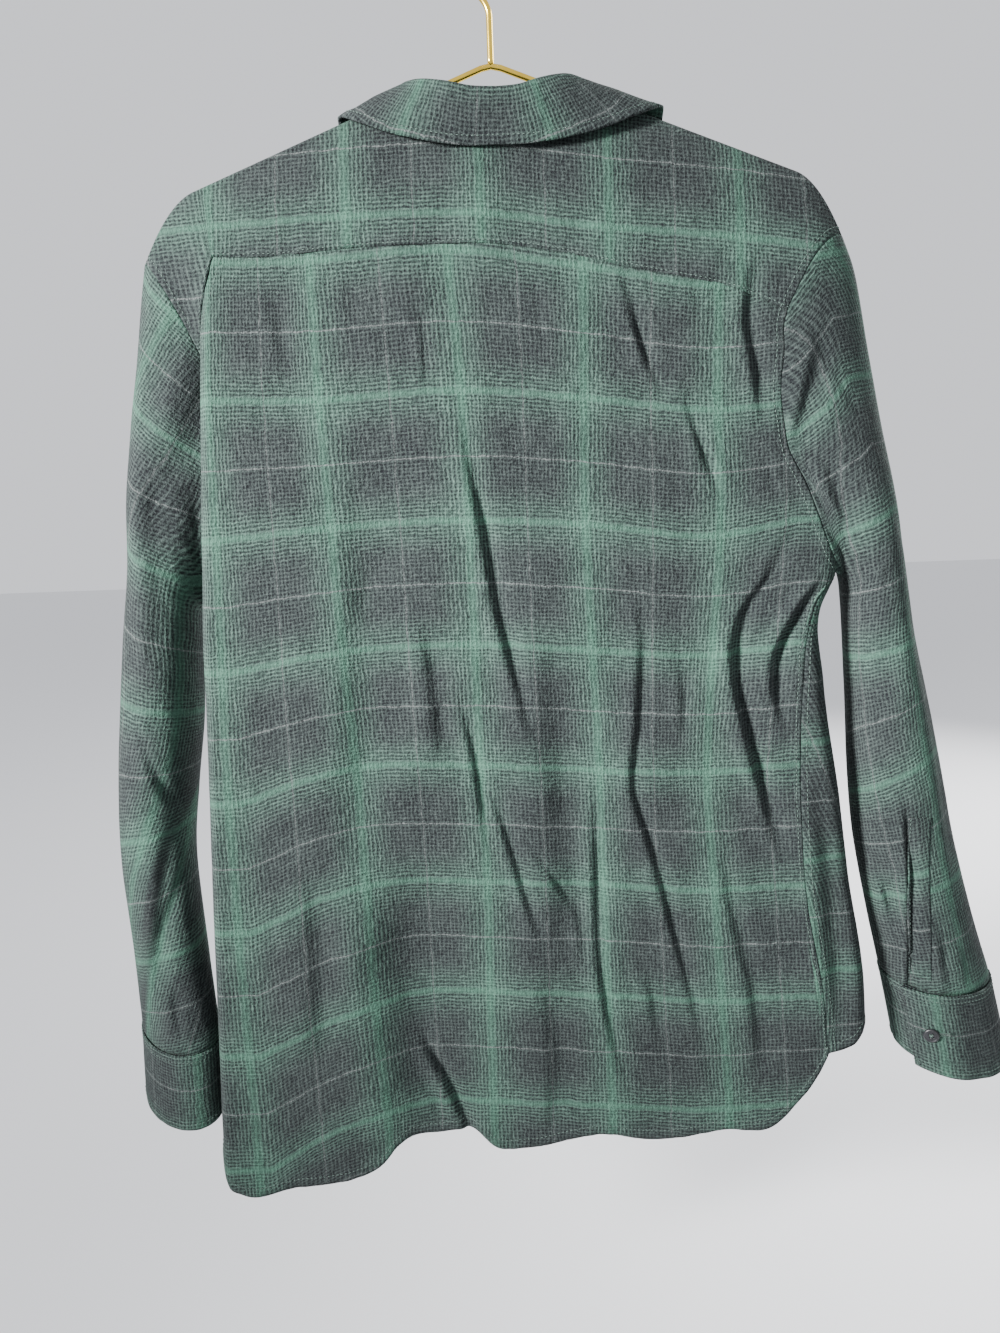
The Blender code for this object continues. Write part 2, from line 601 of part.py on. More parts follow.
def hanger_frame_route():
    """Closed wire: left arm, its bend, the bottom bar, the other bend and the right arm."""
    slope_angle = math.atan(ARM_SLOPE)
    half = []
    bend_x = ARM_REACH - CORNER
    arm_low = JUNCTION + ARM_SLOPE * bend_x
    turn_from, turn_to = math.pi / 2 - slope_angle, -math.pi / 2
    radius_down = (BOTTOM_BAR - arm_low) / (math.sin(turn_from) + 1)
    centre_down = arm_low + radius_down * math.sin(turn_from)
    half.append((0, JUNCTION))
    half.append((bend_x * 0.5, JUNCTION + ARM_SLOPE * bend_x * 0.5))
    for k in range(7):
        a = turn_from + (turn_to - turn_from) * k / 6
        across = radius_down * (math.cos(a) - math.cos(turn_from))
        half.append((bend_x + across, centre_down - radius_down * math.sin(a)))
    half.append((bend_x * 0.5, BOTTOM_BAR))
    right = [(x, 0, down) for x, down in half]
    left = [(-x, 0, down) for x, down in half[:0:-1]]
    return right + left


def hook_route():
    """The shaft, its lean to the left, and the bend over the top that opens on the right."""
    start = math.radians(HOOK_FROM)
    centre_down = HOOK_BEND - WIRE
    arc_start = np.array([HOOK_BEND * math.cos(start), centre_down - HOOK_BEND * math.sin(start)])
    heading = np.array([math.sin(start), math.cos(start)])
    p0, p1 = np.array([0.0, HOOK_START]), np.array([0.0, HOOK_START - 11])
    p2 = arc_start - heading * np.array([12.0, 12.0])
    route = [(0, 0, JUNCTION - WIRE - GAP - 0.4), (0, 0, JUNCTION - 14), (0, 0, HOOK_START)]
    for t in np.linspace(0.2, 1, 5):
        x, down = ((1 - t) ** 3 * p0 + 3 * t * (1 - t) ** 2 * p1 + 3 * t * t * (1 - t) * p2 + t ** 3 * arc_start)
        route.append((x, 0, down))
    for a in np.linspace(start, math.radians(HOOK_TO), 22)[1:]:
        route.append((HOOK_BEND * math.cos(a), 0, centre_down - HOOK_BEND * math.sin(a)))
    return route


for old in list(bpy.data.objects):
    bpy.data.objects.remove(old, do_unlink=True)
parts = bpy.data.collections.new("flannel_shirt_on_hanger")
bpy.context.scene.collection.children.link(parts)

flannel = material("flannel", (0.085, 0.125, 0.11), 0.95)
horn = material("button", (0.02, 0.021, 0.023), 0.35)
gold = material("gold_wire", (0.83, 0.6, 0.2), 0.22, 1.0)

back = back_grid(37, 26)
yoke = yoke_grid()
front_left = front_grid(-1, 14, 19)
front_right = front_grid(1, 15, 24)
cloth("back_panel", back, CLOTH, flannel)
cloth("yoke", yoke, CLOTH, flannel)
cloth("front_left", front_left, CLOTH, flannel)
cloth("front_right", front_right, CLOTH, flannel)

stand, fall = collar_grids()
cloth("collar_stand", stand, STAND, flannel)
cloth("collar_fall", fall, BAND * 0.9, flannel)

ridge_row = 9           # row of the yoke that runs along the shoulder line at its ends
underarm_left = around(-through(BACK_WRAP, 1, np.array([UNDERARM])), np.array([UNDERARM]))
underarm_right = around(back_end(np.array([UNDERARM])), np.array([UNDERARM]))
on_left, on_right = back[:, 0], back[:, -1]
on_left = on_left[(on_left[:, 2] > ARMHOLE_FOLD + 4) & (on_left[:, 2] < UNDERARM - 4)]
on_right = on_right[on_right[:, 2] < UNDERARM - 4]
front_edge_left = front_left[front_left[:, 0, 2] < UNDERARM - 4, 0]
front_edge_right = front_right[front_right[:, 0, 2] < UNDERARM - 4, 0]
left_back = np.concatenate([yoke[ridge_row::-1, 0], on_left, underarm_left])
left_front = np.concatenate([yoke[ridge_row:, 0], front_edge_left, underarm_left])
right_back = np.concatenate([yoke[ridge_row::-1, -1], on_right, underarm_right])
right_front = np.concatenate([yoke[ridge_row:, -1], front_edge_right, underarm_right])
sleeve_left = sleeve_grid(SLEEVE_LEFT, left_back, left_front, SLEEVE_CREASES_LEFT,
                          ((-1.4, 2.6, 0), (-1.6, 1.2, 0)), 26, 19)
sleeve_right = sleeve_grid(SLEEVE_RIGHT, right_back, right_front, SLEEVE_CREASES_RIGHT,
                           ((1.2, 0, 0), (1.2, 0, 0)), 26, 20)
cloth("sleeve_left", sleeve_left, CLOTH, flannel, ring=True)
cloth("sleeve_right", sleeve_right, CLOTH, flannel, ring=True)
cuff_left = cuff_grid(CUFF_LEFT, math.radians(CUFF_END_LEFT), math.radians(CUFF_LAP), 31)
cuff_right = cuff_grid(CUFF_RIGHT, math.radians(CUFF_END_RIGHT), math.radians(CUFF_LAP), 31)
cloth("cuff_left", cuff_left, BAND, flannel)
cloth("cuff_right", cuff_right, BAND, flannel)
cloth("sleeve_placket_left", sleeve_placket(sleeve_left, 14.6, (-2.7, -2.7), 2.2, 6), CLOTH, flannel)
cloth("sleeve_placket_right", sleeve_placket(sleeve_right, 15.6, (6.0, 8.1), 1.8, 6), CLOTH, flannel)

placket_down = np.linspace(PLACKET_TOP, FRONT_LENGTH, 16)[:, None] + np.zeros((1, 4))
placket_x = CENTRE + np.linspace(-0.5, 0.5, 4)[None, :] * PLACKET_WIDTH + np.zeros((16, 1))
placket_y = half_depth(placket_x, placket_down, FRONT) + CLOTH + GAP * 2.5
cloth("button_placket", np.stack([placket_x, placket_y, placket_down], -1), CLOTH, flannel)
for k in range(FRONT_BUTTONS):
    down = FIRST_FRONT_BUTTON + k * FRONT_BUTTON_STEP
    lies_on = float(half_depth(np.array(CENTRE), np.array(down), FRONT)) + CLOTH * 1.5 + GAP * 4.5
    button("button_front_%d" % (k + 1), (CENTRE, lies_on, down), (0, 1, 0), horn)
button("button_collar", COLLAR_BUTTON, (0, 1, 0), horn)
for name, cuff in (("button_cuff_left", cuff_left), ("button_cuff_right", cuff_right)):
    point, facing = on_surface(cuff, np.array(1.5), np.array(CUFF_BUTTON_COLUMN), ring=False)
    button(name, point + facing * (BAND * 0.5 + GAP * 2), facing, horn)

tube("hanger_frame", hanger_frame_route(), WIRE, gold, cyclic=True)
tube("hanger_hook", hook_route(), WIRE, gold)
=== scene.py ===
# Checked flannel shirt on a thin gold wire hanger: cloth, thread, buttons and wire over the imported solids.
# Shapes are worked out in millimetres as (across, toward the shirt's front, down from the hook);
# intoMetres turns them into Blender's metres with +Z up.

import math

import bpy
import numpy as np
from mathutils import Matrix, Vector


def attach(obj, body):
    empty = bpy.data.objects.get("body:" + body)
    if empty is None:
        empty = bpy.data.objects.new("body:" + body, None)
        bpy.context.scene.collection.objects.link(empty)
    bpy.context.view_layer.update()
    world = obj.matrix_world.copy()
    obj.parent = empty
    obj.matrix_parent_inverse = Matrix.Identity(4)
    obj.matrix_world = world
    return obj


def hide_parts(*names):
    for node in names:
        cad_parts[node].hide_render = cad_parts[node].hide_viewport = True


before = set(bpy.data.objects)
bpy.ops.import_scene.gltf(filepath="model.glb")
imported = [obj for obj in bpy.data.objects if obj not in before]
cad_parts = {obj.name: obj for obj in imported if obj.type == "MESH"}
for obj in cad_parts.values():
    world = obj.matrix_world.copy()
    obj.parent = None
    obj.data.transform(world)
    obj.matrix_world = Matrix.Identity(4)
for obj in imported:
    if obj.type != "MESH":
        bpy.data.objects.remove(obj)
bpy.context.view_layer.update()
print("frame loaded")

view = {"place": (-0.00757, -0.71202, -0.36012), "pitch": 10.0, "roll": 2.0, "lens": 27.03, "sensor": 36.0}


def makeCamera():
    # looks along +Y, tipped down by pitch and turned about its own axis by roll
    pitch, roll = math.radians(view["pitch"]), math.radians(view["roll"])
    forward = Vector((0, math.cos(pitch), -math.sin(pitch)))
    level = Vector((1, 0, 0))
    upright = Vector((0, math.sin(pitch), math.cos(pitch)))
    right = math.cos(roll) * level - math.sin(roll) * upright
    up = math.sin(roll) * level + math.cos(roll) * upright
    data = bpy.data.cameras.new("camera")
    data.sensor_fit = "VERTICAL"
    data.sensor_height = view["sensor"]
    data.lens = view["lens"]
    obj = bpy.data.objects.new("camera", data)
    turn = Matrix((right, up, -forward)).transposed().to_4x4()
    obj.matrix_world = Matrix.Translation(view["place"]) @ turn
    bpy.context.scene.collection.objects.link(obj)
    bpy.context.scene.camera = obj


makeCamera()


def ease(t):
    # 3 t^2 - 2 t^3 between 0 and 1, and level beyond them
    t = np.clip(t, 0, 1)
    return t * t * (3 - 2 * t)


def through(table, column, at):
    # smooth curve through one column of a table, read at values of its first: a cubic between two rows,
    # which keeps the slope that their neighbours give
    table = np.asarray(table, float)
    xs, ys = table[:, 0], table[:, column]
    slope = np.gradient(ys, xs)
    at = np.clip(at, xs[0], xs[-1])
    i = np.clip(np.searchsorted(xs, at) - 1, 0, len(xs) - 2)
    step = xs[i + 1] - xs[i]
    t = (at - xs[i]) / step
    return ((1 + 2 * t) * (1 - t) ** 2 * ys[i] + t * (1 - t) ** 2 * step * slope[i]
            + t ** 2 * (3 - 2 * t) * ys[i + 1] - t ** 2 * (1 - t) * step * slope[i + 1])


def stations(table, count):
    # the table's rows read again at evenly spaced steps
    table = np.asarray(table, float)
    index = np.arange(len(table), dtype=float)
    numbered = np.column_stack([index, table])
    at = np.linspace(0, index[-1], count)
    return np.column_stack([through(numbered, c, at) for c in range(1, numbered.shape[1])])


def along(points, share):
    # points of a polyline at shares of its length
    step = np.linalg.norm(np.diff(points, axis=0), axis=1)
    length = np.concatenate([[0], np.cumsum(step)])
    return np.column_stack([np.interp(share * length[-1], length, points[:, k]) for k in range(3)])


noiseForm = {"corners": 64, "shift": (17.3, 5.1)}


def softNoise(a, b, size, seed):
    # random heights on a square lattice, blended smoothly between its corners
    corners = noiseForm["corners"]
    heights = np.random.default_rng(seed).uniform(-1, 1, (corners, corners))
    s, t = a / size + noiseForm["shift"][0], b / size + noiseForm["shift"][1]
    i, j = np.floor(s).astype(int), np.floor(t).astype(int)
    fs, ft = ease(s - i), ease(t - j)

    def corner(di, dj):
        # the height at one of the four corners round each point
        return heights[(i + di) % corners, (j + dj) % corners]

    near = corner(0, 0) * (1 - fs) + corner(1, 0) * fs
    far = corner(0, 1) * (1 - fs) + corner(1, 1) * fs
    return near * (1 - ft) + far * ft


def unit(v):
    # each vector divided by its length
    return v / np.maximum(np.linalg.norm(v, axis=-1, keepdims=True), 1e-9)


cloth = {
    "thick": 1.2, "seamGap": 0.1, "backSeed": 11, "frontSeed": 31,
    # height, size and stretch downward of the broad unevenness, two crinkles and the crepe-like surface
    "rumples": ((1.2, 62, 1), (0.7, 27, 0.7), (0.42, 12, 1), (0.2, 6, 1)),
    # how far the front stands off the sleeve's seam at the underarm, how far below it, and how wide
    "underarm": (1.2, 15.0, 22.0),
}

shoulders = {
    # the hanger's joint and slope, how high the cloth rides on it, and how round it is over the joint
    "junction": 86.4, "slope": 0.385, "ride": 4.8, "peakRound": 10.0,
    # the wire ends at tip, the cloth on each side at its end, where it is lower by drop, and at most by more
    "tip": 200.0, "endLeft": 236.0, "endRight": 232.0, "drop": 31.0, "dropMost": 1.3,
    # radius over the wire, how soon the cloth falls away from it, and where the yoke's front seam runs
    "roll": 4.1, "fallAway": 30.0, "forward": 22.0,
    # no rumples from the shoulder line to calm, and all of them a fade further down
    "calm": 12.0, "calmFade": 40.0,
}

body = {
    # each side fold's radius, how much cloth turns round it, and how far round the back's edge may reach
    "foldLeft": 9.0, "turnLeft": 48.0, "foldRight": 14.0, "turnRight": 54.0, "foldMost": 0.98,
    "centre": 3.0, "underarm": 425.0,
    # the sleeves' seams follow the edges of back and fronts from and to these heights
    "armholeFrom": 270, "armholeTo": 421,
    # down, left fold, left edge of the front above the underarm, right fold, back's depth, front's depth
    "sections": [
        (165, -192, -243, 236, 17, 15), (205, -197, -240, 240, 19, 17), (266, -203, -222, 227, 20, 18),
        (330, -208, -218, 223, 21, 20), (380, -212, -217, 227, 21, 20), (425, -215, -215, 231, 21, 21),
        (450, -217, -217, 221, 21, 22), (501, -219, -219, 224, 22, 23), (586, -223, -223, 237, 23, 24),
        (652, -226, -226, 246, 24, 25), (723, -229, -229, 258, 25, 26), (815, -233, -233, 262, 26, 27),
        (900, -236, -236, 262, 27, 28)],
    # across, down
    "yokeSeam": [(-200, 202), (-153, 204), (-102, 201), (-57, 200), (10, 202), (45, 208), (81, 217),
                 (118, 225), (149, 232), (169, 239), (192, 250)],
    # down, reach round the left fold
    "backWrap": [(202, -2), (234, 10), (266, 23), (340, 27), (395, 31), (425, 36), (450, 37), (500, 37),
                 (900, 38)],
    "frontWrap": [(200, 50), (375, 50), (395, 47), (412, 41), (425, 36), (450, 37), (500, 37), (900, 38)],
    # down, across
    "backEnd": [(236, 201), (250, 191), (277, 189), (300, 187), (324, 190), (340, 193), (361, 204),
                (383, 213), (407, 222), (425, 228), (440, 216), (465, 208), (500, 205), (560, 204),
                (664, 210), (731, 222), (790, 229), (900, 231)],
    "frontEnd": [(200, 56), (370, 56), (390, 52), (405, 42), (417, 28), (425, 15.5)],
    # distance along the cloth, down
    "backHem": [(-38, 816), (-15, 857), (0, 879), (12, 885), (46, 880), (97, 872), (114, 864), (129, 846),
                (160, 840), (188, 840), (202, 852), (226, 853), (286, 843), (320, 850), (374, 843),
                (417, 838), (432, 821), (446, 802), (458, 784)],
    "frontLeftHem": [(0, 816), (40, 832), (90, 858), (150, 867), (260, 866)],
    # rounded where it turns round the side
    "frontRightHem": [(0, 784), (10, 782), (20, 777), (30, 768), (38, 770), (50, 792), (90, 824),
                      (160, 854), (260, 864), (320, 866)],
    # the back's right half, creased more, has closer columns: shares of the columns and of the width
    "backColumns": ((0, 0.26, 1), (0, 0.36, 1)),
    "cornerWide": 16.0, "cornerHigh": 10.0,
}
sectionColumns = {"left": 1, "frontLeft": 2, "right": 3, "back": 4, "front": 5}

# width, depth, side on which the cloth stands up, and stations of down, across
backCreases = [
    (3.8, 3.4, -1, ((296, -29), (317, -26), (360, -19), (405, -12), (434, -8), (468, -1), (507, 8),
                    (560, 20))),
    (3, 2.2, -1, ((498, -38), (531, -30), (567, -25), (620, -20))),
    (3.4, 2.6, -1, ((560, -20), (599, -8), (640, 3), (677, 13), (700, 20))),
    (2.5, 1.8, -1, ((606, 4), (640, 26), (680, 50))),
    (3, 2.6, -1, ((212, 78), (236, 86), (258, 92), (280, 99), (309, 112))),
    (3.4, 2.7, -1, ((390, 78), (432, 90), (524, 90), (576, 86), (614, 97), (676, 112), (732, 126),
                    (812, 141))),
    (2.5, 1.6, -1, ((395, 70), (411, 83), (432, 91))),
    (3.4, 2.6, -1, ((545, 58), (635, 58), (705, 59), (762, 67), (830, 86))),
    (4.2, 5.4, -1, ((405, 192), (423, 182), (446, 166), (467, 159), (496, 159), (533, 167), (580, 179),
                    (640, 196))),
    (3.8, 4.8, -1, ((415, 226), (433, 214), (459, 197), (482, 187), (503, 186), (540, 196))),
    (3.8, 3.1, -1, ((206, 176), (216, 172), (235, 167), (254, 165), (286, 171), (330, 176))),
    (2.5, 1.5, -1, ((224, 181), (249, 194), (280, 202), (320, 200))),
    (30, 10.0, -1, ((600, -74), (700, -76), (780, -70), (890, -52))),
    (3.8, 4.1, -1, ((752, -78), (768, -73), (803, -57), (835, -44), (862, -31))),
    (3.4, 1.9, 1, ((312, 126), (345, 138), (385, 152))),
    (3, 1.5, -1, ((290, 120), (330, 132), (372, 147))),
    (5.1, 2.3, -1, ((600, 150), (660, 156), (730, 172), (820, 182))),
    (8, 2.6, -1, ((610, -150), (690, -146), (800, -152))),
    (3.4, 1.6, -1, ((380, 200), (404, 190), (425, 180), (450, 171))),
    (3.8, 1.5, -1, ((220, -150), (250, -146), (290, -144))),
    (14, 3.4, -1, ((420, 30), (520, 34), (640, 40), (760, 34))),
    (16, 3.4, -1, ((330, -90), (430, -96), (540, -104), (640, -110))),
    (2.5, 1.2, -1, ((222, -60), (250, -52), (300, -50))),
    (2.5, 1.1, 1, ((216, 24), (240, 26), (276, 30))),
    (9, 2.6, -1, ((700, 20), (780, 28), (860, 22))),
    (9, 4.5, -1, ((550, 214), (610, 224), (700, 233), (800, 240))),
    (3, 1.6, -1, ((300, 184), (330, 189), (352, 196))), (3, 1.4, 1, ((330, 176), (356, 180), (384, 190))),
    (3, 1.5, -1, ((216, 126), (236, 130), (262, 134))), (3, 1.4, -1, ((214, -100), (236, -98), (262, -97))),
    (3.5, 1.6, -1, ((470, 118), (505, 122), (548, 120))), (3.5, 1.6, -1, ((700, 92), (738, 98), (780, 104))),
    (5, 2.0, -1, ((440, -60), (500, -52), (560, -50))), (3.5, 1.6, -1, ((640, 40), (676, 46), (720, 48))),
]
frontCreases = [
    (14, 3.0, 1, ((230, -150), (330, -120), (430, -95), (520, -84))),
    (16, 3.0, -1, ((420, 150), (520, 132), (640, 128), (760, 140))),
    (12, 2.4, 1, ((300, 90), (420, 76), (560, 70), (700, 78))),
    (12, 2.4, -1, ((520, -60), (640, -70), (760, -64), (850, -70))),
    (10, 2.0, 1, ((240, 140), (300, 168), (360, 190), (410, 200))),
]


creaseForm = {
    # it fades out over this share of its length, and over at least so many millimetres
    "fadeShare": 0.35, "fadeLeast": 40.0,
    # in widths: the trough's steep and gentle side, the ridge's place, height, and its near and far side
    "steep": 0.95, "gentle": 1.7, "ridgeAt": 1.6, "ridgeHigh": 0.6, "ridgeNear": 0.9, "ridgeFar": 1.9,
}


def creased(creases, x, down):
    # t is the distance off the route in widths. Going toward the side that stands up, a trough exp(-t^2)
    # rises steeply to a ridge, and it runs out gently the other way.
    form = creaseForm
    total = np.zeros_like(x)
    for width, depth, side, route in creases:
        route = np.array(route, float)
        top, bottom = route[0, 0], route[-1, 0]
        fade = max(form["fadeLeast"], form["fadeShare"] * (bottom - top))
        ends = ease((down - top) / fade) * ease((bottom - down) / fade)
        t = (x - through(route, 1, down)) * side / width
        trough = np.exp(-(t / np.where(t > 0, form["steep"], form["gentle"])) ** 2)
        offRidge = t - form["ridgeAt"]
        ridge = np.exp(-(offRidge / np.where(offRidge > 0, form["ridgeFar"], form["ridgeNear"])) ** 2)
        total += depth * ends * (trough - form["ridgeHigh"] * ridge)
    return total


def rumpled(x, down, seed):
    # the sum of each kind of rumple's height times its own soft noise
    return sum(height * softNoise(x, down * stretch, size, seed + k)
               for k, (height, size, stretch) in enumerate(cloth["rumples"]))


def section(part, down):
    # one measure of the body's cross section at a height
    return through(body["sections"], sectionColumns[part], down)


def shoulder(x):
    # down to the cloth's top edge: along the hanger's arm, then steeply off its end
    end = np.where(x < 0, shoulders["endLeft"], shoulders["endRight"])
    beyond = np.clip((np.abs(x) - shoulders["tip"]) / (end - shoulders["tip"]), 0, shoulders["dropMost"])
    peak = np.sqrt(x ** 2 + shoulders["peakRound"] ** 2)
    top = shoulders["junction"] - shoulders["ride"]
    return top + shoulders["slope"] * peak + shoulders["drop"] * beyond ** 2


def settled(x, down):
    # 0 beside the shoulder line, 1 where the cloth hangs free of it
    return ease((down - shoulder(x) - shoulders["calm"]) / shoulders["calmFade"])


def halfDepth(x, down, face):
    # the roll over the wire, and below it 1 - exp(-t) of the way to the section's own depth
    roll = shoulders["roll"]
    below = np.maximum(down - shoulder(x) - roll, 0)
    return roll + (section(face, down) - roll) * (1 - np.exp(-below / shoulders["fallAway"]))


def frontLeftFold(down):
    # the front reaches further left above the underarm
    return np.where(down < body["underarm"], section("frontLeft", down), section("left", down))


def around(q, down, ofFront=False):
    # q runs from the left fold across the back, half a turn round the right fold and along the front;
    # negative q goes half a turn round the left fold
    left = frontLeftFold(down) if ofFront else section("left", down)
    right = section("right", down)
    foldLeft, foldRight = body["foldLeft"], body["foldRight"]
    turnLeft, turnRight = body["turnLeft"], body["turnRight"]
    width = right - left - foldLeft - foldRight
    angleLeft = np.clip(-q / turnLeft, 0, 1) * math.pi
    angleRight = np.clip((q - width) / turnRight, 0, 1) * math.pi
    x = (left + foldLeft + np.clip(q, 0, width)
         - foldLeft * np.sin(angleLeft) + foldRight * np.sin(angleRight)
         + np.maximum(-q - turnLeft, 0) - np.maximum(q - width - turnRight, 0))
    facing = np.cos(angleLeft + angleRight)
    toBack, toFront = np.clip(facing, 0, 1), np.clip(-facing, 0, 1)
    depth = np.where(facing > 0, halfDepth(x, down, "back"), halfDepth(x, down, "front"))
    y = -depth * facing + creased(backCreases, x, down) * toBack ** 2
    y -= creased(frontCreases, x, down) * toFront ** 2
    rumple = rumpled(x, down, cloth["backSeed"]) * toBack - rumpled(x, down, cloth["frontSeed"]) * toFront
    return np.stack([x, y + settled(x, down) * rumple, down], -1)


def backWidth(down):
    # of the back's flat part, between the two folds
    return section("right", down) - section("left", down) - body["foldLeft"] - body["foldRight"]


def backEnd(down):
    # q of the back's right edge: across the flat part, then round the fold by an arc sine
    right = section("right", down)
    x = through(body["backEnd"], 1, down)
    intoFold = np.clip((x - right + body["foldRight"]) / body["foldRight"], 0, body["foldMost"])
    onFace = np.minimum(x, right - body["foldRight"]) - section("left", down) - body["foldLeft"]
    return onFace + body["turnRight"] * np.arcsin(intoFold) / math.pi


def over(x, d):
    # the cloth over the shoulder line: d runs down the back where positive, down the front where negative
    roll = shoulders["roll"]
    quarter = roll * math.pi / 2
    turn = np.clip(d, -quarter, quarter) / roll
    down = shoulder(x) + roll * (1 - np.cos(turn)) + np.maximum(np.abs(d) - quarter, 0)
    free = settled(x, down)
    back = halfDepth(x, down, "back") - creased(backCreases, x, down)
    back = back - free * rumpled(x, down, cloth["backSeed"])
    front = halfDepth(x, down, "front") + free * rumpled(x, down, cloth["frontSeed"])
    y = np.where(d > quarter, -back, np.where(d < -quarter, front, -roll * np.sin(turn)))
    return np.stack([x, y, down], -1)


def overDistance(x, down):
    # the d of a height on the back
    roll = shoulders["roll"]
    return down - shoulder(x) - roll + roll * math.pi / 2


check = {
    "across": 88.0, "down": 87.0,
    # down, then where the mint stripes cross that height on the back
    "backStripes": [
        (205, -191, -124, -33, 56, 147), (294, -197, -123, -27, 55, 144.5),
        (380, -199, -120, -25, 54, 147), (470, -202, -117, -24.5, 57, 142),
        (560, -205, -112, -24, 61, 137), (645, -205, -110, -22, 62.5, 142),
        (735, -205, -108, -23, 64, 148), (820, -204, -103, -24, 66, 154)],
    # across, then how far down the cross stripes run there
    "backBands": [
        (-195, 207, 295, 388, 480, 575, 672, 770, 864), (-135, 208, 297, 383, 470, 555, 645, 740, 828),
        (-20, 205, 294, 380, 466, 553, 640, 726, 816), (60, 218, 302, 386, 473, 560, 645, 731, 820),
        (143, 232, 312, 396, 479, 563, 652, 738, 827), (200, 228, 309, 387, 472, 560, 650, 736, 824)],
    "yokeStripes": (-190, -98, -10, 74, 160),
    "yokeBand": [(-200, 184), (-98, 181), (-10, 182), (71, 193), (159, 202), (230, 212)],
    # from the centre front, and down to a band in the middle of the two fronts and half as far between them
    "frontStripe": 20.0, "frontBand": 191.0, "frontBandApart": 5.0,
}


def countAlong(at, places, step):
    # number of the stripe at a place: whole on each stripe, evenly between two, and by the step beyond them
    number = np.zeros_like(at)
    for k in range(len(places) - 1):
        number += np.clip((at - places[k]) / (places[k + 1] - places[k]), 0, 1)
    return number + np.minimum(at - places[0], 0) / step + np.maximum(at - places[-1], 0) / step


def backCheck(flatX, down):
    # (u, v) counts the repeats across and down
    stripes = [through(check["backStripes"], k, down) for k in range(1, len(check["backStripes"][0]))]
    bands = [through(check["backBands"], k, flatX) for k in range(1, len(check["backBands"][0]))]
    return countAlong(flatX, stripes, check["across"]), countAlong(down, bands, check["down"])


# how many steps find an edge, and how far down they start
edgeSearch = {"rounds": 12, "yokeSeam": 215.0, "frontTop": 190.0, "hem": 850.0}


def backGrid(columns, rows):
    # u runs along the cloth from the left side to the right one, v down from the yoke seam to the hem; both
    # edges are found by repeated steps, because each line of cloth drifts sideways as it goes down
    u = np.interp(np.linspace(0, 1, columns), *body["backColumns"])[None, :]
    v = np.linspace(0, 1, rows)[:, None]

    def qAt(down):
        # q of every column at a height
        start = -through(body["backWrap"], 1, down)
        return start + (backEnd(down) - start) * u

    top, hem = np.full_like(u, edgeSearch["yokeSeam"]), np.full_like(u, edgeSearch["hem"])
    for _ in range(edgeSearch["rounds"]):
        top = through(body["yokeSeam"], 1, around(qAt(top), top)[..., 0])
        corner = np.clip(1 - (backEnd(hem) - qAt(hem)) / body["cornerWide"], 0, 1)
        hem = (hem + through(body["backHem"], 1, qAt(hem)) - body["cornerHigh"] * corner ** 2) / 2
    down = top + (hem - top) * v
    q = qAt(down)
    flatX = section("left", down) + body["foldLeft"] + q
    return around(q, down), backCheck(flatX, down)


yokeCloth = {
    "middleBelow": 20,
    "armholeLines": 5.5,     # lines up to this number start on the left armhole
    # number, start across on the back, across on the shoulder line, how far over, end across on the front
    "lines": [
        (0, -200, -236, -22, -229), (5, -200, -199, -22, -193), (6, -187, -190, -22, -185),
        (11, -98, -92, -22, -80.5), (12, -93, -88, -15, -79.9), (13, -89, -84.5, -9, -79.3),
        (14, -85, -81, -4, -78.6), (15, -81, -78, 0, -78), (17, -71, -68, 0, -68), (25, 77, 74, 0, 74),
        (27, 86, 84, 0, 84), (28, 90, 86.5, -4, 84.4), (29, 94, 90, -9, 85.1), (30, 98.5, 94, -15, 85.8),
        (31, 103, 98, -22, 86.5), (36, 170, 190, -22, 184), (41, 190.3, 232, -22, 224)],
    # half width from the centre, cloth distance over the shoulder line; and on the front, down
    "neck": [(-30, 38), (0, 45), (30, 38), (55, 23.5), (72, 9), (81, 0)],
    "neckFront": [(-22, 183), (0, 187), (22, 183), (46, 170), (68, 150), (83.5, 133.5)],
    "neckHalf": 81.0,
    # down to where the first lines leave the left armhole, and how far beyond the back's edge they start
    "tuckFrom": (266.0, 206.0), "tuckBeyond": (0.8, 0.4),
    "seamBelow": 0.4, "nearRidge": (7.0, 1.3), "lean": 12.0, "joined": 1.5, "ridge": -1.7,
}


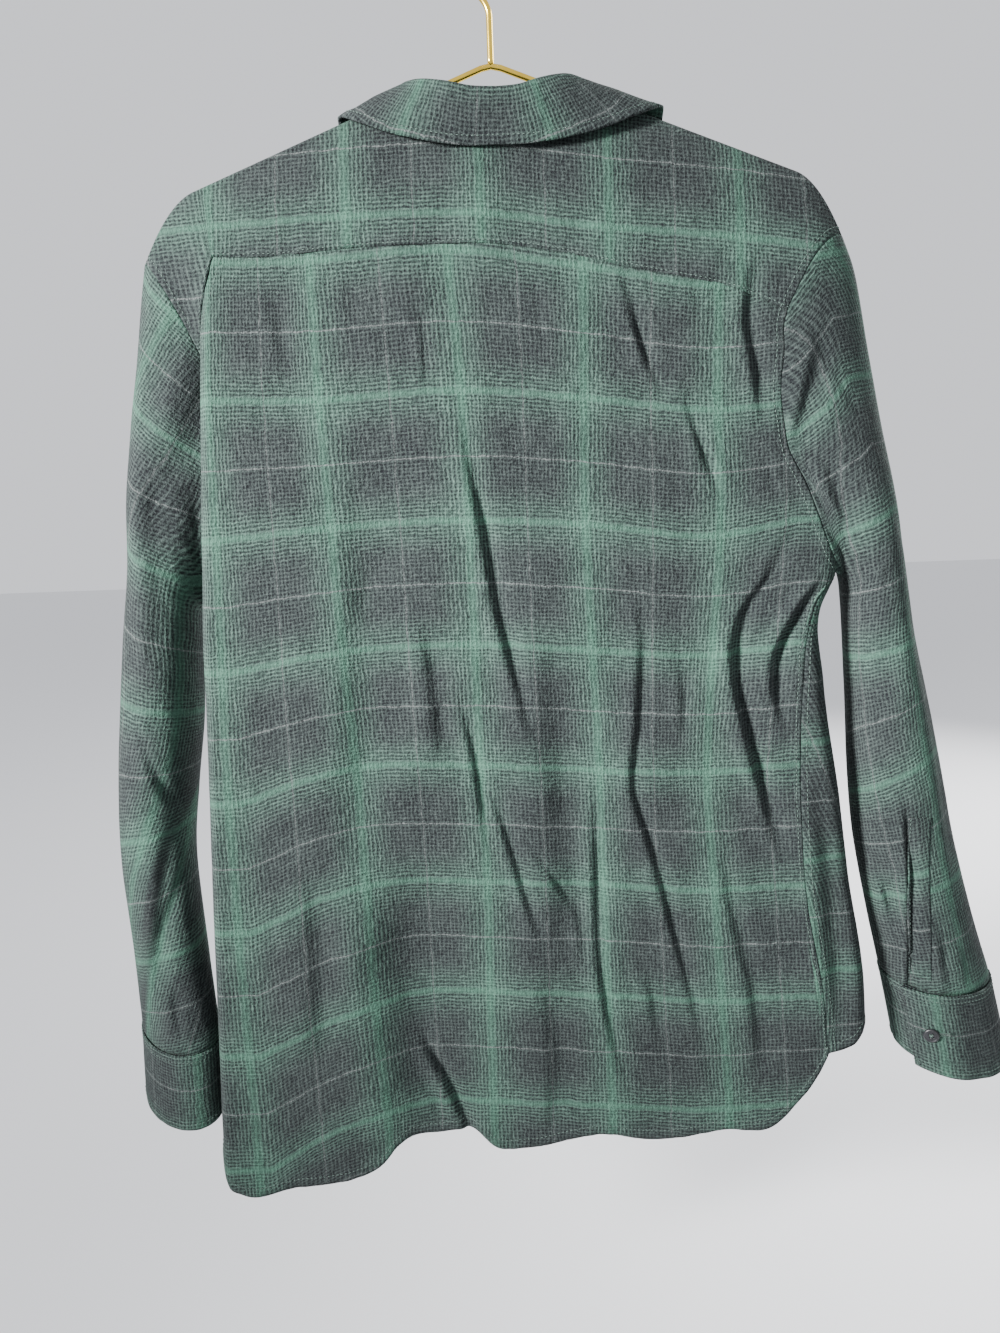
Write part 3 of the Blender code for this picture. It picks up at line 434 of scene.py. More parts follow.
def yokeGrid(columns, rows):
    # lines of cloth run from the seam on the back up to the neck, or over the shoulder to the front seam; a
    # third of each one's rows lie below the ridge, a third near it and a third beyond
    spec = yokeCloth
    lines = np.array(spec["lines"], float)
    few = columns // 8
    number = np.concatenate([np.linspace(0, 5, few), np.linspace(6, lines[-1, 0], columns - few)])
    across, ridge, end, front = (np.interp(number, lines[:, 0], lines[:, k]) for k in range(1, 5))
    offCentre = np.abs(ridge - body["centre"])
    end = np.where(offCentre <= spec["neckHalf"], through(spec["neck"], 1, offCentre), end)
    tucked = number < spec["armholeLines"]
    tuckDown = np.interp(number[tucked], (0, 5), spec["tuckFrom"])
    tuckBeyond = np.interp(number[tucked], (0, 5), spec["tuckBeyond"])
    tuck = around(-through(body["backWrap"], 1, tuckDown) - tuckBeyond, tuckDown)
    across = across[~tucked]
    seam = np.stack([across, across * 0, through(body["yokeSeam"], 1, across) + spec["seamBelow"]], -1)
    seam[:, 1] = over(across, overDistance(across, seam[:, 2]))[:, 1]
    bottom = np.concatenate([tuck, seam])

    start = overDistance(bottom[:, 0], bottom[:, 2])
    nearRidge = spec["nearRidge"][0] + spec["nearRidge"][1] * np.maximum(end + 1, 0)
    breaks = np.stack([start, nearRidge, (nearRidge + end) / 2, end])
    third = rows // 3
    at = np.concatenate([np.linspace(0, 1, rows - 2 * third), np.linspace(1, 2, third + 1)[1:],
                         np.linspace(2, 3, third + 1)[1:]])
    distance = np.stack([[np.interp(r, range(4), breaks[:, c]) for c in range(len(start))] for r in at])
    up = np.clip((start - distance) / (start - np.maximum(end, 0)), 0, 1)
    downFront = np.clip(distance / np.minimum(end, -1), 0, 1)
    x = bottom[:, 0] + (ridge - bottom[:, 0]) * up + (front - ridge) * downFront
    grid = over(x, distance)
    grid[..., 1:] += (bottom - grid[0])[None, :, 1:] * ((1 - up) ** spec["joined"])[..., None]
    flatX = np.where(tucked[None, :], x - spec["lean"] * (1 - up), x)
    u = countAlong(flatX, check["yokeStripes"], check["across"])
    level = shoulder(x) + shoulders["roll"] - shoulders["roll"] * math.pi / 2 + distance
    v = (level - through(check["yokeBand"], 1, x)) / check["down"]
    ridgeRow = int(np.argmin(np.abs(distance[:, 0] - spec["ridge"])))
    return grid, (u, v), ridgeRow


frontTop = {"neckHalf": 83.0, "neckBelow": 1.0, "seamBelow": 0.2, "endFrom": 190.0, "endWide": 25.0}


def frontGrid(side, columns, rows):
    # u runs from the side edge to the centre front, v from the top edge to the hem; side is -1 or 1
    u = np.linspace(0, 1, columns)[None, :]
    v = np.linspace(0, 1, rows)[:, None]
    centre, gap = body["centre"], cloth["seamGap"]

    def qAt(down):
        # q of every column at a height, lifted off the sleeve's seam in a bell below the underarm
        off, below, wide = cloth["underarm"]
        lift = gap + off * np.exp(-((down - body["underarm"] - below) / wide) ** 2)
        if side < 0:
            start = -through(body["frontWrap"], 1, down) - lift
            stop = -(body["turnLeft"] + centre - gap - frontLeftFold(down) - body["foldLeft"])
        else:
            width = backWidth(down)
            above = width + through(body["frontEnd"], 1, down)
            start = np.where(down < body["underarm"], above, backEnd(down)) + lift
            stop = width + body["turnRight"] + section("right", down) - body["foldRight"] - centre - gap
        return start + (stop - start) * u

    def point(down):
        return around(qAt(down), down, ofFront=side < 0)

    def topEdge(x):
        # the neckline in the middle and the yoke's front seam on both sides
        offCentre = np.abs(x - centre)
        roll = shoulders["roll"]
        seam = shoulder(x) + roll + shoulders["forward"] - roll * math.pi / 2 + frontTop["seamBelow"]
        seam = seam + ease((offCentre - frontTop["endFrom"]) / frontTop["endWide"])
        neck = through(yokeCloth["neckFront"], 1, offCentre) + frontTop["neckBelow"]
        return np.where(offCentre < frontTop["neckHalf"], neck, seam)

    hemTable = body["frontLeftHem"] if side < 0 else body["frontRightHem"]
    top, hem = np.full_like(u, edgeSearch["frontTop"]), np.full_like(u, edgeSearch["hem"])
    for _ in range(edgeSearch["rounds"]):
        top = (top + topEdge(point(top)[..., 0])) / 2
        q = qAt(hem)
        hem = (hem + through(hemTable, 1, np.abs(q - q[:, :1]))) / 2
    down = top + (hem - top) * v
    q = qAt(down)
    fromStripe = np.abs(q - q[:, -1:]) + check["frontStripe"]
    fromBand = down - check["frontBand"] - check["frontBandApart"] * side
    return point(down), (side * fromStripe / check["across"], fromBand / check["down"])


collar = {
    # the neckline's half widths from the centre back to the centre front, how many are behind the shoulder
    # line, and how far over it the next one is
    "neckAcross": (0, 17, 34, 52, 68, 81, 82.3, 83.4, 71, 42, 0), "rowsBehind": 6, "over": -6.0,
    # the stand's top and the fall's free edge, each across, forward, down
    "fold": [(0, -17, 108.5), (16, -17, 107.5), (32, -15, 103.5), (47, -10, 100.5), (55, -5, 101),
             (59, 0, 102.5), (61, 5, 107), (61, 11, 119), (52, 16, 138), (30, 18, 155), (1.5, 18.5, 163)],
    "edge": [(0, -19, 141), (20, -19, 141), (44, -18.5, 138), (68, -17, 132), (93, -11, 122),
             (105, -1, 115.5), (107, 5, 119), (104, 13, 136), (93, 20, 163), (78, 23, 190), (42, 25, 207)],
    # how far the left and the right half spread
    "foldSpread": (1.02, 0.89), "edgeSpread": (0.98, 1.03),
    # half the gap at the front; the stand's start above the neck seam, its end below the fold, and its rows
    "apart": 0.4, "standFrom": 0.2, "standTo": 1.2, "standRows": 12,
    "middle": 4.0, "thick": 1.7,
    # the roll over the fold, then the fall's rows, its bulge and its unevenness as (height, size)
    "turn": 2.3, "turnDegrees": 140, "turnRows": 9, "sunk": 0.9, "fallRows": 28, "bulge": 1.5,
    "uneven": ((0.72, 34), (0.4, 15)), "small": (0.35, 9), "smallDown": 60.0,
    # where two mint stripes cross its free edge, how far the cross stripes are moved, and the stand's height
    "stripes": (-64, 35), "bandFrom": 0.045, "standDown": 32.0,
}


def neckRing(side, count):
    # the neckline of one half, over the shoulder and along the front to the centre
    offCentre = np.array(collar["neckAcross"], float)
    behind, front = offCentre[:collar["rowsBehind"]], offCentre[collar["rowsBehind"] + 1:]
    frontX = body["centre"] + side * front
    distance = np.concatenate([through(yokeCloth["neck"], 1, behind), [collar["over"]],
                               -overDistance(frontX, through(yokeCloth["neckFront"], 1, front))])
    return stations(over(body["centre"] + side * offCentre, distance), count)


def wholeRing(left, right):
    # the two halves end to end, a little apart at the front
    left[-1, 0] -= collar["apart"]
    right[-1, 0] += collar["apart"]
    return np.concatenate([left[::-1], right[1:]])


def tableRing(table, spread, count):
    # a table of one half, mirrored for the other, each half spread by its own share
    sides = []
    for side, wide in zip((-1, 1), spread):
        half = stations(table, count)
        half[:, 0] = body["centre"] + side * wide * half[:, 0]
        sides.append(half)
    return wholeRing(*sides)


def collarMiddle():
    # the point that the collar's outer face turns away from
    return np.array([body["centre"], collar["middle"], 0.0])


def collarGrids(count):
    # the stand rises straight from the neck seam to the fold; the fall turns over the fold in an arc, then
    # goes straight to its free edge with a sine's bulge that is uneven toward the edge
    seam = wholeRing(neckRing(-1, count), neckRing(1, count))
    fold = tableRing(collar["fold"], collar["foldSpread"], count)
    edge = tableRing(collar["edge"], collar["edgeSpread"], count)
    rise = unit(fold - seam)
    start = seam + rise * collar["standFrom"]
    stop = fold - rise * collar["standTo"]
    stand = np.stack([start + (stop - start) * t for t in np.linspace(0, 1, collar["standRows"])])

    out = unit(np.cross(np.gradient(fold, axis=0), rise))
    fromMiddle = (fold - collarMiddle()) * np.array([1, 1, 0])
    out *= np.sign(np.sum(out * fromMiddle, axis=1))[:, None]
    turn = collar["turn"]
    overTop = [fold + out * (turn - turn * math.cos(a)) + rise * (turn * math.sin(a) - collar["sunk"])
               for a in np.radians(np.linspace(0, collar["turnDegrees"], collar["turnRows"]))]
    arc = np.concatenate([[0], np.cumsum(np.linalg.norm(np.diff(edge, axis=0), axis=1))])
    arc -= arc[count - 1]
    uneven = sum(high * softNoise(arc, arc * 0, size, 51 + k)
                 for k, (high, size) in enumerate(collar["uneven"]))
    high, size = collar["small"]
    falls = []
    for t in np.linspace(0, 1, collar["fallRows"])[1:]:
        bulge = collar["bulge"] * math.sin(math.pi * t) + uneven * t
        bulge = bulge + high * softNoise(arc, arc * 0 + collar["smallDown"] * t, size, 53)
        falls.append(overTop[-1] + (edge - overTop[-1]) * t + out * bulge[:, None])
    return stand, np.stack(overTop + falls), arc


sleeveRight = {
    # from the shoulder to the cuff seam: outer edge and inner edge, each across, forward, down; half depth
    # of the tube; extra length on the side that faces the back
    "rings": [
        (233, 0, 202, 231, -12, 424, 14, 0), (243, 3, 226, 236, -8, 427, 20, 0),
        (253, 5, 272, 239, -4, 430, 26, 0), (262, 6, 314, 240, 0, 435, 31, 0),
        (272, 7, 364, 241, 3, 443, 34, 0), (282, 8, 420, 243, 5, 458, 36, 0),
        (291, 9, 470, 245, 6, 484, 37, 0), (304, 9, 522, 247, 6, 524, 36, 0),
        (316, 9, 574, 249, 6, 570, 35, 0), (327, 9, 624, 254, 6, 620, 34, 2),
        (343, 8, 682, 264, 6, 674, 31, 5), (360, 6, 736, 276, 6, 727, 27, 9)],
    "cuff": [(361, 6, 738, 276.5, 6, 729, 27.5, 9), (377, 5, 802, 289, 6, 788, 26, 16)],
    # degrees round to the cuff's inner end; how far the head stands off its seam, behind and in front
    "cuffEnd": 98.0, "away": ((0.5, 0, 0), (0.5, 0, 0)),
    "creases": [
        (6, 4.0, -1, ((240, 222), (279, 213), (308, 205), (347, 197), (374, 208), (405, 221), (450, 232))),
        (6, 4.0, -1, ((330, 214), (355, 221), (382, 230), (416, 239), (470, 243))),
        (2.6, 4.6, -1, ((575, 277), (608, 281), (640, 285), (675, 288), (737, 292), (780, 295))),
        (4, 3.2, -1, ((625, 262), (645, 270), (678, 277), (706, 283))),
        (4, 3.4, -1, ((618, 250), (645, 264), (675, 277), (700, 283))),
        (4, 3.2, -1, ((672, 248), (690, 258), (707, 267), (735, 281))),
        (3, 2.2, -1, ((676, 306), (692, 309), (712, 313), (745, 320))),
        (3, 1.8, -1, ((696, 326), (714, 330), (745, 335))),
        (4, 2.0, -1, ((425, 275), (497, 291), (558, 305), (620, 316), (690, 330))),
        (9, 2.0, -1, ((470, 262), (540, 266), (610, 276))),
        (8, 1.6, -1, ((380, 258), (450, 262), (520, 268)))],
    # down the sleeve from the middle of its head: the mint bands, and their slope beyond a distance from the
    # outer edge, less how far back it starts
    "bands": (-100, -18, 74, 168, 252, 351),
    "slope": [(-100, 0.9), (0, 0.7), (80, 0.3), (168, 0.1), (255, 0.35), (351, 0.05), (450, 0)],
    "slopeFrom": 35.0, "slopeBack": 0.0,
    # one mint stripe's distance from the outer edge, how much further round it runs near the inner edge, and
    # the place of a fold
    "stripe": [(-105, 20), (-88, 13), (-39, 3), (1, 5), (50, 15), (111, 24), (154, 34), (227, 40), (290, 39),
               (430, 36)],
    "shift": [(-100, 45), (-50, 20), (0, 5), (50, 0), (500, 0)],
    "fold": [(-100, 400), (500, 400)],
    "seed": 71,
}
sleeveLeft = {
    "rings": [
        (-237, 0, 200, -215, 16, 425, 14, 0), (-244, 6, 226, -220, 18, 429, 19, 0),
        (-252, 10, 266, -223, 20, 433, 23, 0), (-261, 13, 308, -225, 22, 438, 26, 0),
        (-268, 15, 354, -226, 23, 445, 28, 0), (-273, 17, 404, -227, 24, 458, 30, 0),
        (-281, 18, 452, -229, 24, 484, 31, 0), (-289, 19, 506, -232, 23, 522, 31, 0),
        (-297, 21, 566, -240, 21, 574, 31, 0), (-302, 24, 630, -245, 17, 626, 30, 2),
        (-302, 29, 700, -241, 12, 700, 28, 5), (-304, 35, 766, -236, 7, 768, 26, 9)],
    "cuff": [(-304.5, 35.5, 768.5, -236.5, 7, 770.5, 26.5, 9), (-308, 38, 826, -238, 8, 829, 25, 15)],
    "cuffEnd": -77.0, "away": ((-0.7, 1.2, 0), (-0.8, 0.6, 0)),
    "creases": [
        (10, 3.0, -1, ((300, -240), (360, -245), (430, -246), (500, -252))),
        (6, 3.6, -1, ((580, -250), (640, -262), (700, -272), (740, -276))),
        (4, 2.2, -1, ((577, -226), (620, -244), (693, -274))),
        (6, 2.0, -1, ((230, -228), (280, -240), (330, -250))),
        (4, 2.4, -1, ((710, -262), (740, -262), (772, -262))),
        (4, 2.0, -1, ((520, -268), (560, -258), (600, -240)))],
    "bands": (-65, 10, 96, 197, 296, 393),
    "slope": [(-98, 0.95), (0, 0.75), (98, 0.48), (197, 0.1), (296, -0.33), (393, -0.38), (470, -0.38)],
    "slopeFrom": 0.0, "slopeBack": 40.0,
    "stripe": [(-110, 130), (-50, 103), (0, 82), (60, 66), (117, 57), (175, 66), (239, 61), (292, 46),
               (334, 31), (400, 8), (470, -12)],
    "shift": [(-100, 0), (500, 0)],
    "fold": [(-100, 140), (230, 120), (270, 80), (285, 68), (330, 52), (385, 40), (438, 24), (500, 10)],
    "seed": 81,
}
sleeveForm = {
    # a power that points the tube's section, and another that spreads the longer side's extra length
    "pointed": 1.15, "longer": 0.6,
    # columns drawn together at the seam; one over the shares of the length in which the head's form fades
    # and the creases come in
    "gathered": 0.07, "headFade": 2.6, "flatFade": 8.0,
    # the head stands off its seam upward at the top, and downward at the underarm
    "headOut": 0.4, "underOut": 0.5,
    # creases of the side that faces the front, moved up and made shallower; rumples
    "frontCreaseUp": 25.0, "frontCreases": 0.6, "rumples": 1.2, "rumpleDown": 0.8, "rumpleSide": 40.0,
    # the stripe's shift comes in over this stretch round the sleeve; a fold hides this much of a repeat
    "shiftFrom": 35.0, "shiftWide": 50.0, "foldHides": 0.6, "foldWide": 12.0,
}


def tubeRing(row, angles):
    # 0 is the ring's outer edge, a quarter turn its back, a half turn its inner edge
    outer, inner, half, longer = row[0:3], row[3:6], row[6], row[7]
    c, s = np.cos(angles), np.sin(angles)
    s = np.sign(s) * np.abs(s) ** sleeveForm["pointed"]
    ring = (outer + inner) / 2 + (outer - inner) / 2 * c[:, None]
    ring[:, 1] -= half * s
    ring[:, 2] += longer * np.clip(s, 0, 1) ** sleeveForm["longer"]
    return ring


def sleeveGrid(sleeve, armholeBack, armholeFront, columns, rows):
    # rings from the armhole to the cuff seam; the columns start and end at the inner edge, where its seam is
    form = sleeveForm
    half = columns // 2
    share = np.linspace(0, 1, half + 1)
    share = share + form["gathered"] * np.sin(math.pi * share)
    share = share / share[-1]
    angles = math.pi * np.concatenate([share[:-1], 2 - share[:0:-1]])
    armhole = np.concatenate([along(armholeBack, share)[:-1], along(armholeFront, share)[:0:-1]])
    tangent = unit(np.roll(armhole, -1, axis=0) - np.roll(armhole, 1, axis=0))
    behind = np.clip(np.sin(angles), 0, 1)[:, None]
    out = np.array(sleeve["away"][0]) * behind + np.array(sleeve["away"][1]) * (1 - behind)
    low = np.clip(-np.cos(angles), 0, 1)
    out[:, 0] *= 1 + low
    out[:, 2] += form["headOut"] * np.cos(angles) - form["underOut"] * low
    out = out - tangent * np.sum(out * tangent, axis=1)[:, None]
    grid = np.stack([tubeRing(row, angles) for row in stations(sleeve["rings"], rows)])
    fade = 1 - ease(np.linspace(0, 1, rows) * form["headFade"])
    grid += (armhole + out - grid[0])[None] * fade[:, None, None]
    facing = np.sin(angles)[None, :]
    free = ease(np.linspace(0, 1, rows) * form["flatFade"])[:, None]
    toBack, toFront = np.clip(facing, 0, 1) * free, np.clip(-facing, 0, 1) * free * form["frontCreases"]
    grid[..., 1] += creased(sleeve["creases"], grid[..., 0], grid[..., 2]) * toBack
    grid[..., 1] -= creased(sleeve["creases"], grid[..., 0], grid[..., 2] + form["frontCreaseUp"]) * toFront
    down = grid[..., 2] * form["rumpleDown"] + facing * form["rumpleSide"]
    grid[..., 1] += rumpled(grid[..., 0], down, sleeve["seed"]) * facing * free * form["rumples"]
    return np.roll(grid, half, axis=1)


def sleeveCheck(sleeve, grid):
    # s runs down the sleeve's own line and arc runs round it from its outer edge. Bands are counted along s,
    # less slope * arc; stripes are counted round, from where one of them runs at each s.
    form = sleeveForm
    rings = np.array(sleeve["rings"], float)
    first, last = (rings[0, :3] + rings[0, 3:6]) / 2, (rings[-1, :3] + rings[-1, 3:6]) / 2
    axis = (last - first) / np.linalg.norm(last - first)
    closed = closedRing(grid)
    s = np.sum((closed - first) * axis, axis=-1)
    step = np.diff(closed, axis=1)
    step = step - np.sum(step * axis, axis=-1, keepdims=True) * axis
    soFar = np.cumsum(np.linalg.norm(step, axis=-1), axis=1)
    arc = np.concatenate([np.zeros((len(grid), 1)), soFar], axis=1)
    arc -= arc[:, grid.shape[1] // 2][:, None]
    beyond = np.maximum(np.abs(arc) - sleeve["slopeFrom"], 0) - sleeve["slopeBack"]
    v = countAlong(s - through(sleeve["slope"], 1, s) * beyond, sleeve["bands"], check["down"])
    near = np.clip((np.abs(arc) - form["shiftFrom"]) / form["shiftWide"], 0, 1)
    u = (arc - through(sleeve["stripe"], 1, s) - through(sleeve["shift"], 1, s) * near) / check["across"]
    hidden = ease((arc - through(sleeve["fold"], 1, s)) / form["foldWide"] + 0.5)
    return u + form["foldHides"] * hidden, v


def closedRing(grid):
    # the first column again at the end
    return np.concatenate([grid, grid[:, :1]], axis=1)


cuffForm = {
    # degrees of lap; the outer end's lift, and over how many radians it starts and grows
    "lap": 37.0, "lift": 2.9, "liftFrom": 0.5, "liftWide": 0.45,
    # the inner end sinks by so much, least at the seam and all of it partway down, in a bell of this width
    "sunk": 5.0, "sunkLeast": 0.1, "sunkSoon": 2.2, "sunkBeyond": 0.05, "sunkWide": 0.5,
    "deep": 64.0, "uneven": (0.35, 17), "thick": 1.7,
    # the button, as a share of the way round, and off the band's middle; a stripe beside it, and how far the
    # cross stripes are moved
    "buttonAt": 28.4 / 30, "buttonOff": 1.2, "stripeOff": 9.0, "bandFrom": 0.16,
}


def cuffGrid(sleeve, columns, rows):
    # a band that laps over itself: its outer end lies on its inner end, which sinks toward the free edge
    form = cuffForm
    lap = math.radians(form["lap"])
    turn = np.linspace(0, 2 * math.pi + lap, columns)
    angles = math.radians(sleeve["cuffEnd"]) + turn
    lift = form["lift"] * ease((turn - 2 * math.pi + form["liftFrom"]) / form["liftWide"])
    bell = np.exp(-((turn - lap - form["sunkBeyond"]) / form["sunkWide"]) ** 2) * (turn < math.pi)
    shares = form["sunkLeast"] + (1 - form["sunkLeast"]) * ease(np.linspace(0, form["sunkSoon"], rows))
    rings = []
    for row, share in zip(stations(sleeve["cuff"], rows), shares):
        ring = tubeRing(row, angles)
        out = ring - (row[0:3] + row[3:6]) / 2
        out[:, 2] = 0
        rings.append(ring + unit(out) * (lift - form["sunk"] * share * bell)[:, None])
    grid = np.stack(rings)
    arc = np.concatenate([[0], np.cumsum(np.linalg.norm(np.diff(grid[0], axis=0), axis=1))])
    below = np.linspace(0, form["deep"], rows)[:, None]
    high, size = form["uneven"]
    grid[..., 1] += high * softNoise(arc[None, :], below, size, sleeve["seed"] + 5)
    fromStripe = arc[None, :] - arc[-1] * form["buttonAt"] + form["stripeOff"]
    return grid, (fromStripe / check["across"] + 0 * below,
                  below / check["down"] + form["bandFrom"] + 0 * fromStripe)


def onSurface(grid, row, column):
    # points of a grid read between its rows and columns, and the way out of the tube there
    normal = unit(np.cross(np.gradient(grid, axis=0), np.gradient(grid, axis=1)))
    normal *= np.sign(np.sum(normal * (grid - grid.mean(axis=1, keepdims=True)), axis=-1, keepdims=True))
    r0 = np.clip(np.floor(row).astype(int), 0, grid.shape[0] - 2)
    c0 = np.clip(np.floor(column).astype(int), 0, grid.shape[1] - 2)
    fr, fc = (row - r0)[..., None], (column - c0)[..., None]

    def read(values):
        # blended evenly between the four nearest
        near = values[r0, c0] * (1 - fc) + values[r0, c0 + 1] * fc
        far = values[r0 + 1, c0] * (1 - fc) + values[r0 + 1, c0 + 1] * fc
        return near * (1 - fr) + far * fr

    return read(grid), read(normal)


def intoMetres(points):
    # millimetres across, forward and down become metres across, forward and up
    return np.stack([points[..., 0], points[..., 1], -points[..., 2]], -1) * 0.001


outForm = {"sideways": 0.15, "least": 1e-4}


def outward(grid, middle=None):
    # unit normals of a grid, pointing away from a middle, which is the shirt's own mid plane if not given
    normal = unit(np.cross(np.gradient(grid, axis=0), np.gradient(grid, axis=1)))
    away = grid * np.array([outForm["sideways"], 1, 0]) if middle is None else grid - middle
    away = away + np.array([1, 1, 0]) * outForm["least"]
    return normal * np.sign(np.sum(normal * away, axis=-1, keepdims=True))


def turned(values, edge):
    # the grid seen with the named edge as its first row
    if edge in ("left", "right"):
        values = np.swapaxes(values, 0, 1)
    return values[::-1] if edge in ("bottom", "right") else values


def turnedBack(values, edge):
    # undoes turned
    if edge in ("bottom", "right"):
        values = values[::-1]
    return np.swapaxes(values, 0, 1) if edge in ("left", "right") else values


def fromEdge(grid, edge):
    # how far each point is from the named edge, measured along the cloth
    step = np.linalg.norm(np.diff(turned(grid, edge), axis=0), axis=-1)
    return turnedBack(np.concatenate([np.zeros_like(step[:1]), np.cumsum(step, axis=0)]), edge)


# width, height and puckers of each doubled edge
hems = {
    "tail": (7.5, 0.5, 0.45), "yokeSeam": (3.2, 0.75, 0.5), "cuffEnd": (5.5, 0.3, 0.3),
    "cuffSeam": (3.0, 0.12, 0.15), "collar": (5.5, 0.3, 0.35), "sleevePlacketSide": (2.0, 0.25, 0.15),
    "sleevePlacketTop": (8.0, 0.25, 0.15), "frontPlacket": (5.5, 0.25, 0.25),
}
hemForm = {
    # the step down beside the hem, the dip at the stitches and the rounded edge, each with its width
    "stepWide": 1.6, "dip": 0.45, "dipWide": 1.1, "round": 0.5, "roundWide": 0.9,
    # puckers as (size, share, how much they slant), which fade beyond so far in, over this many hem widths
    "puckers": ((6.5, 1.0, 0.35), (15, 0.6, 0.3)), "puckerFrom": 3, "puckerFade": 1.4,
}


def hemmed(grid, edge, hem, middle=None, seed=5):
    # a doubled edge: the cloth stands up by height as far as width, dips at the row of stitches and puckers
    # along it
    width, height, pucker = hem
    form = hemForm
    far = fromEdge(grid, edge)
    lines = turned(grid, edge)
    run = np.concatenate([[0], np.cumsum(np.linalg.norm(np.diff(lines[0], axis=0), axis=-1))])
    run = turnedBack(np.broadcast_to(run, turned(far, edge).shape), edge)
    lift = height * (1 - ease((far - width) / form["stepWide"]))
    lift -= form["dip"] * height * np.exp(-((far - width) / form["dipWide"]) ** 2)
    lift -= form["round"] * height * np.exp(-(far / form["roundWide"]) ** 2)
    puckers = sum(share * softNoise(run, far * slant, size, seed + k)
                  for k, (size, share, slant) in enumerate(form["puckers"]))
    fade = np.exp(-np.maximum(far - form["puckerFrom"], 0) / (width * form["puckerFade"]))
    return grid + outward(grid, middle) * (lift + pucker * puckers * fade)[..., None]


# how far each edge slips under its neighbour, and how deep
tucks = {"back": (5.0, 1.4), "front": (5.0, 1.2), "sleeveHead": (4.0, 1.5), "sleeveEnd": (6.0, 1.5)}
tuckForm = {"near": 0.9, "nearSink": 0.8}


def tuckedUnder(grid, uv, edge, tuck, middle=None):
    # two more lines beyond an edge, which slip under the neighbouring piece
    reach, sink = tuck
    values = np.concatenate([grid, uv[0][..., None], uv[1][..., None]], -1)
    lines = turned(values, edge)
    inward = -turned(outward(grid, middle), edge)[0]
    direction = lines[0] - lines[2]
    direction = direction / np.linalg.norm(direction[..., :3], axis=-1, keepdims=True)
    near, far = lines[0] + direction * tuckForm["near"], lines[0] + direction * reach
    near[..., :3] += inward * sink * tuckForm["nearSink"]
    far[..., :3] += inward * sink
    values = turnedBack(np.concatenate([far[None], near[None], lines]), edge)
    return values[..., :3], (values[..., 3], values[..., 4])


def gridMesh(name, grid, uv=None, ring=False):
    # square faces between each row and column and the next; a ring also joins the last column to the first
    rows, columns = grid.shape[:2]
    r, c = np.meshgrid(np.arange(rows - 1), np.arange(columns if ring else columns - 1), indexing="ij")
    d = (c + 1) % columns
    corners = np.stack([r * columns + c, (r + 1) * columns + c, (r + 1) * columns + d, r * columns + d], -1)
    faces = corners.shape[0] * corners.shape[1]
    mesh = bpy.data.meshes.new(name)
    mesh.vertices.add(rows * columns)
    mesh.vertices.foreach_set("co", intoMetres(grid).ravel())
    mesh.loops.add(faces * 4)
    mesh.loops.foreach_set("vertex_index", corners.ravel())
    mesh.polygons.add(faces)
    mesh.polygons.foreach_set("loop_start", np.arange(faces) * 4)
    if uv is not None:
        layer = mesh.uv_layers.new(name="check")
        pairs = [np.stack([a[r, c], a[r + 1, c], a[r + 1, c + 1], a[r, c + 1]], -1) for a in uv]
        layer.data.foreach_set("uv", np.stack(pairs, -1).ravel())
    mesh.update(calc_edges=True)
    mesh.shade_smooth()
    return mesh


def addPiece(name, mesh, material, nodes=()):
    # puts a mesh in the scene on the part's only body, in place of the named nodes
    obj = bpy.data.objects.new(name, mesh)
    bpy.context.scene.collection.objects.link(obj)
    obj.data.materials.append(material)
    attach(obj, "root")
    if nodes:
        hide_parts(*nodes)
    return obj


def areaOf(grid, ring=False):
    # half the cross product of each face's two diagonals, summed, in square metres
    if ring:
        grid = closedRing(grid)
    a, b, c, d = grid[:-1, :-1], grid[1:, :-1], grid[1:, 1:], grid[:-1, 1:]
    return 0.5 * np.linalg.norm(np.cross(c - a, d - b), axis=-1).sum() * 1e-6


# the cut that shows of each piece: across and down in metres, and how much of that box it fills
cuts = {
    "back": (0.50, 0.66, 0.92), "yoke": (0.48, 0.16, 0.62),
    "frontLeft": (0.26, 0.69, 0.92), "frontRight": (0.28, 0.71, 0.92),
    "sleeveLeft": (0.19, 0.58, 0.92), "sleeveRight": (0.20, 0.56, 0.92),
    "cuffLeft": (0.20, 0.066, 1.0), "cuffRight": (0.235, 0.068, 1.0),
    "collarStand": (0.36, 0.034, 0.85), "collarFall": (0.44, 0.065, 0.85),
    "sleevePlacket": (0.022, 0.12, 1.0), "buttonPlacket": (0.034, 0.673, 1.0),
}


def addCloth(name, node, grid, uv, size, thick, ring=False):
    # a piece of cloth: its grid as a mesh, made into a wall of this thickness, half of it on either side
    mesh = gridMesh(name + "Cloth", grid, uv, ring)
    obj = addPiece(name + "Cloth", mesh, flannelMaterial, [node])
    wall = obj.modifiers.new("wall", "SOLIDIFY")
    wall.thickness = thick * 0.001
    wall.offset = 0.0
    flat, area = size[:2], size[0] * size[1] * size[2]
    print("cloth", name, "area %.4f m2" % areaOf(grid, ring), "flat %.4f" % area)


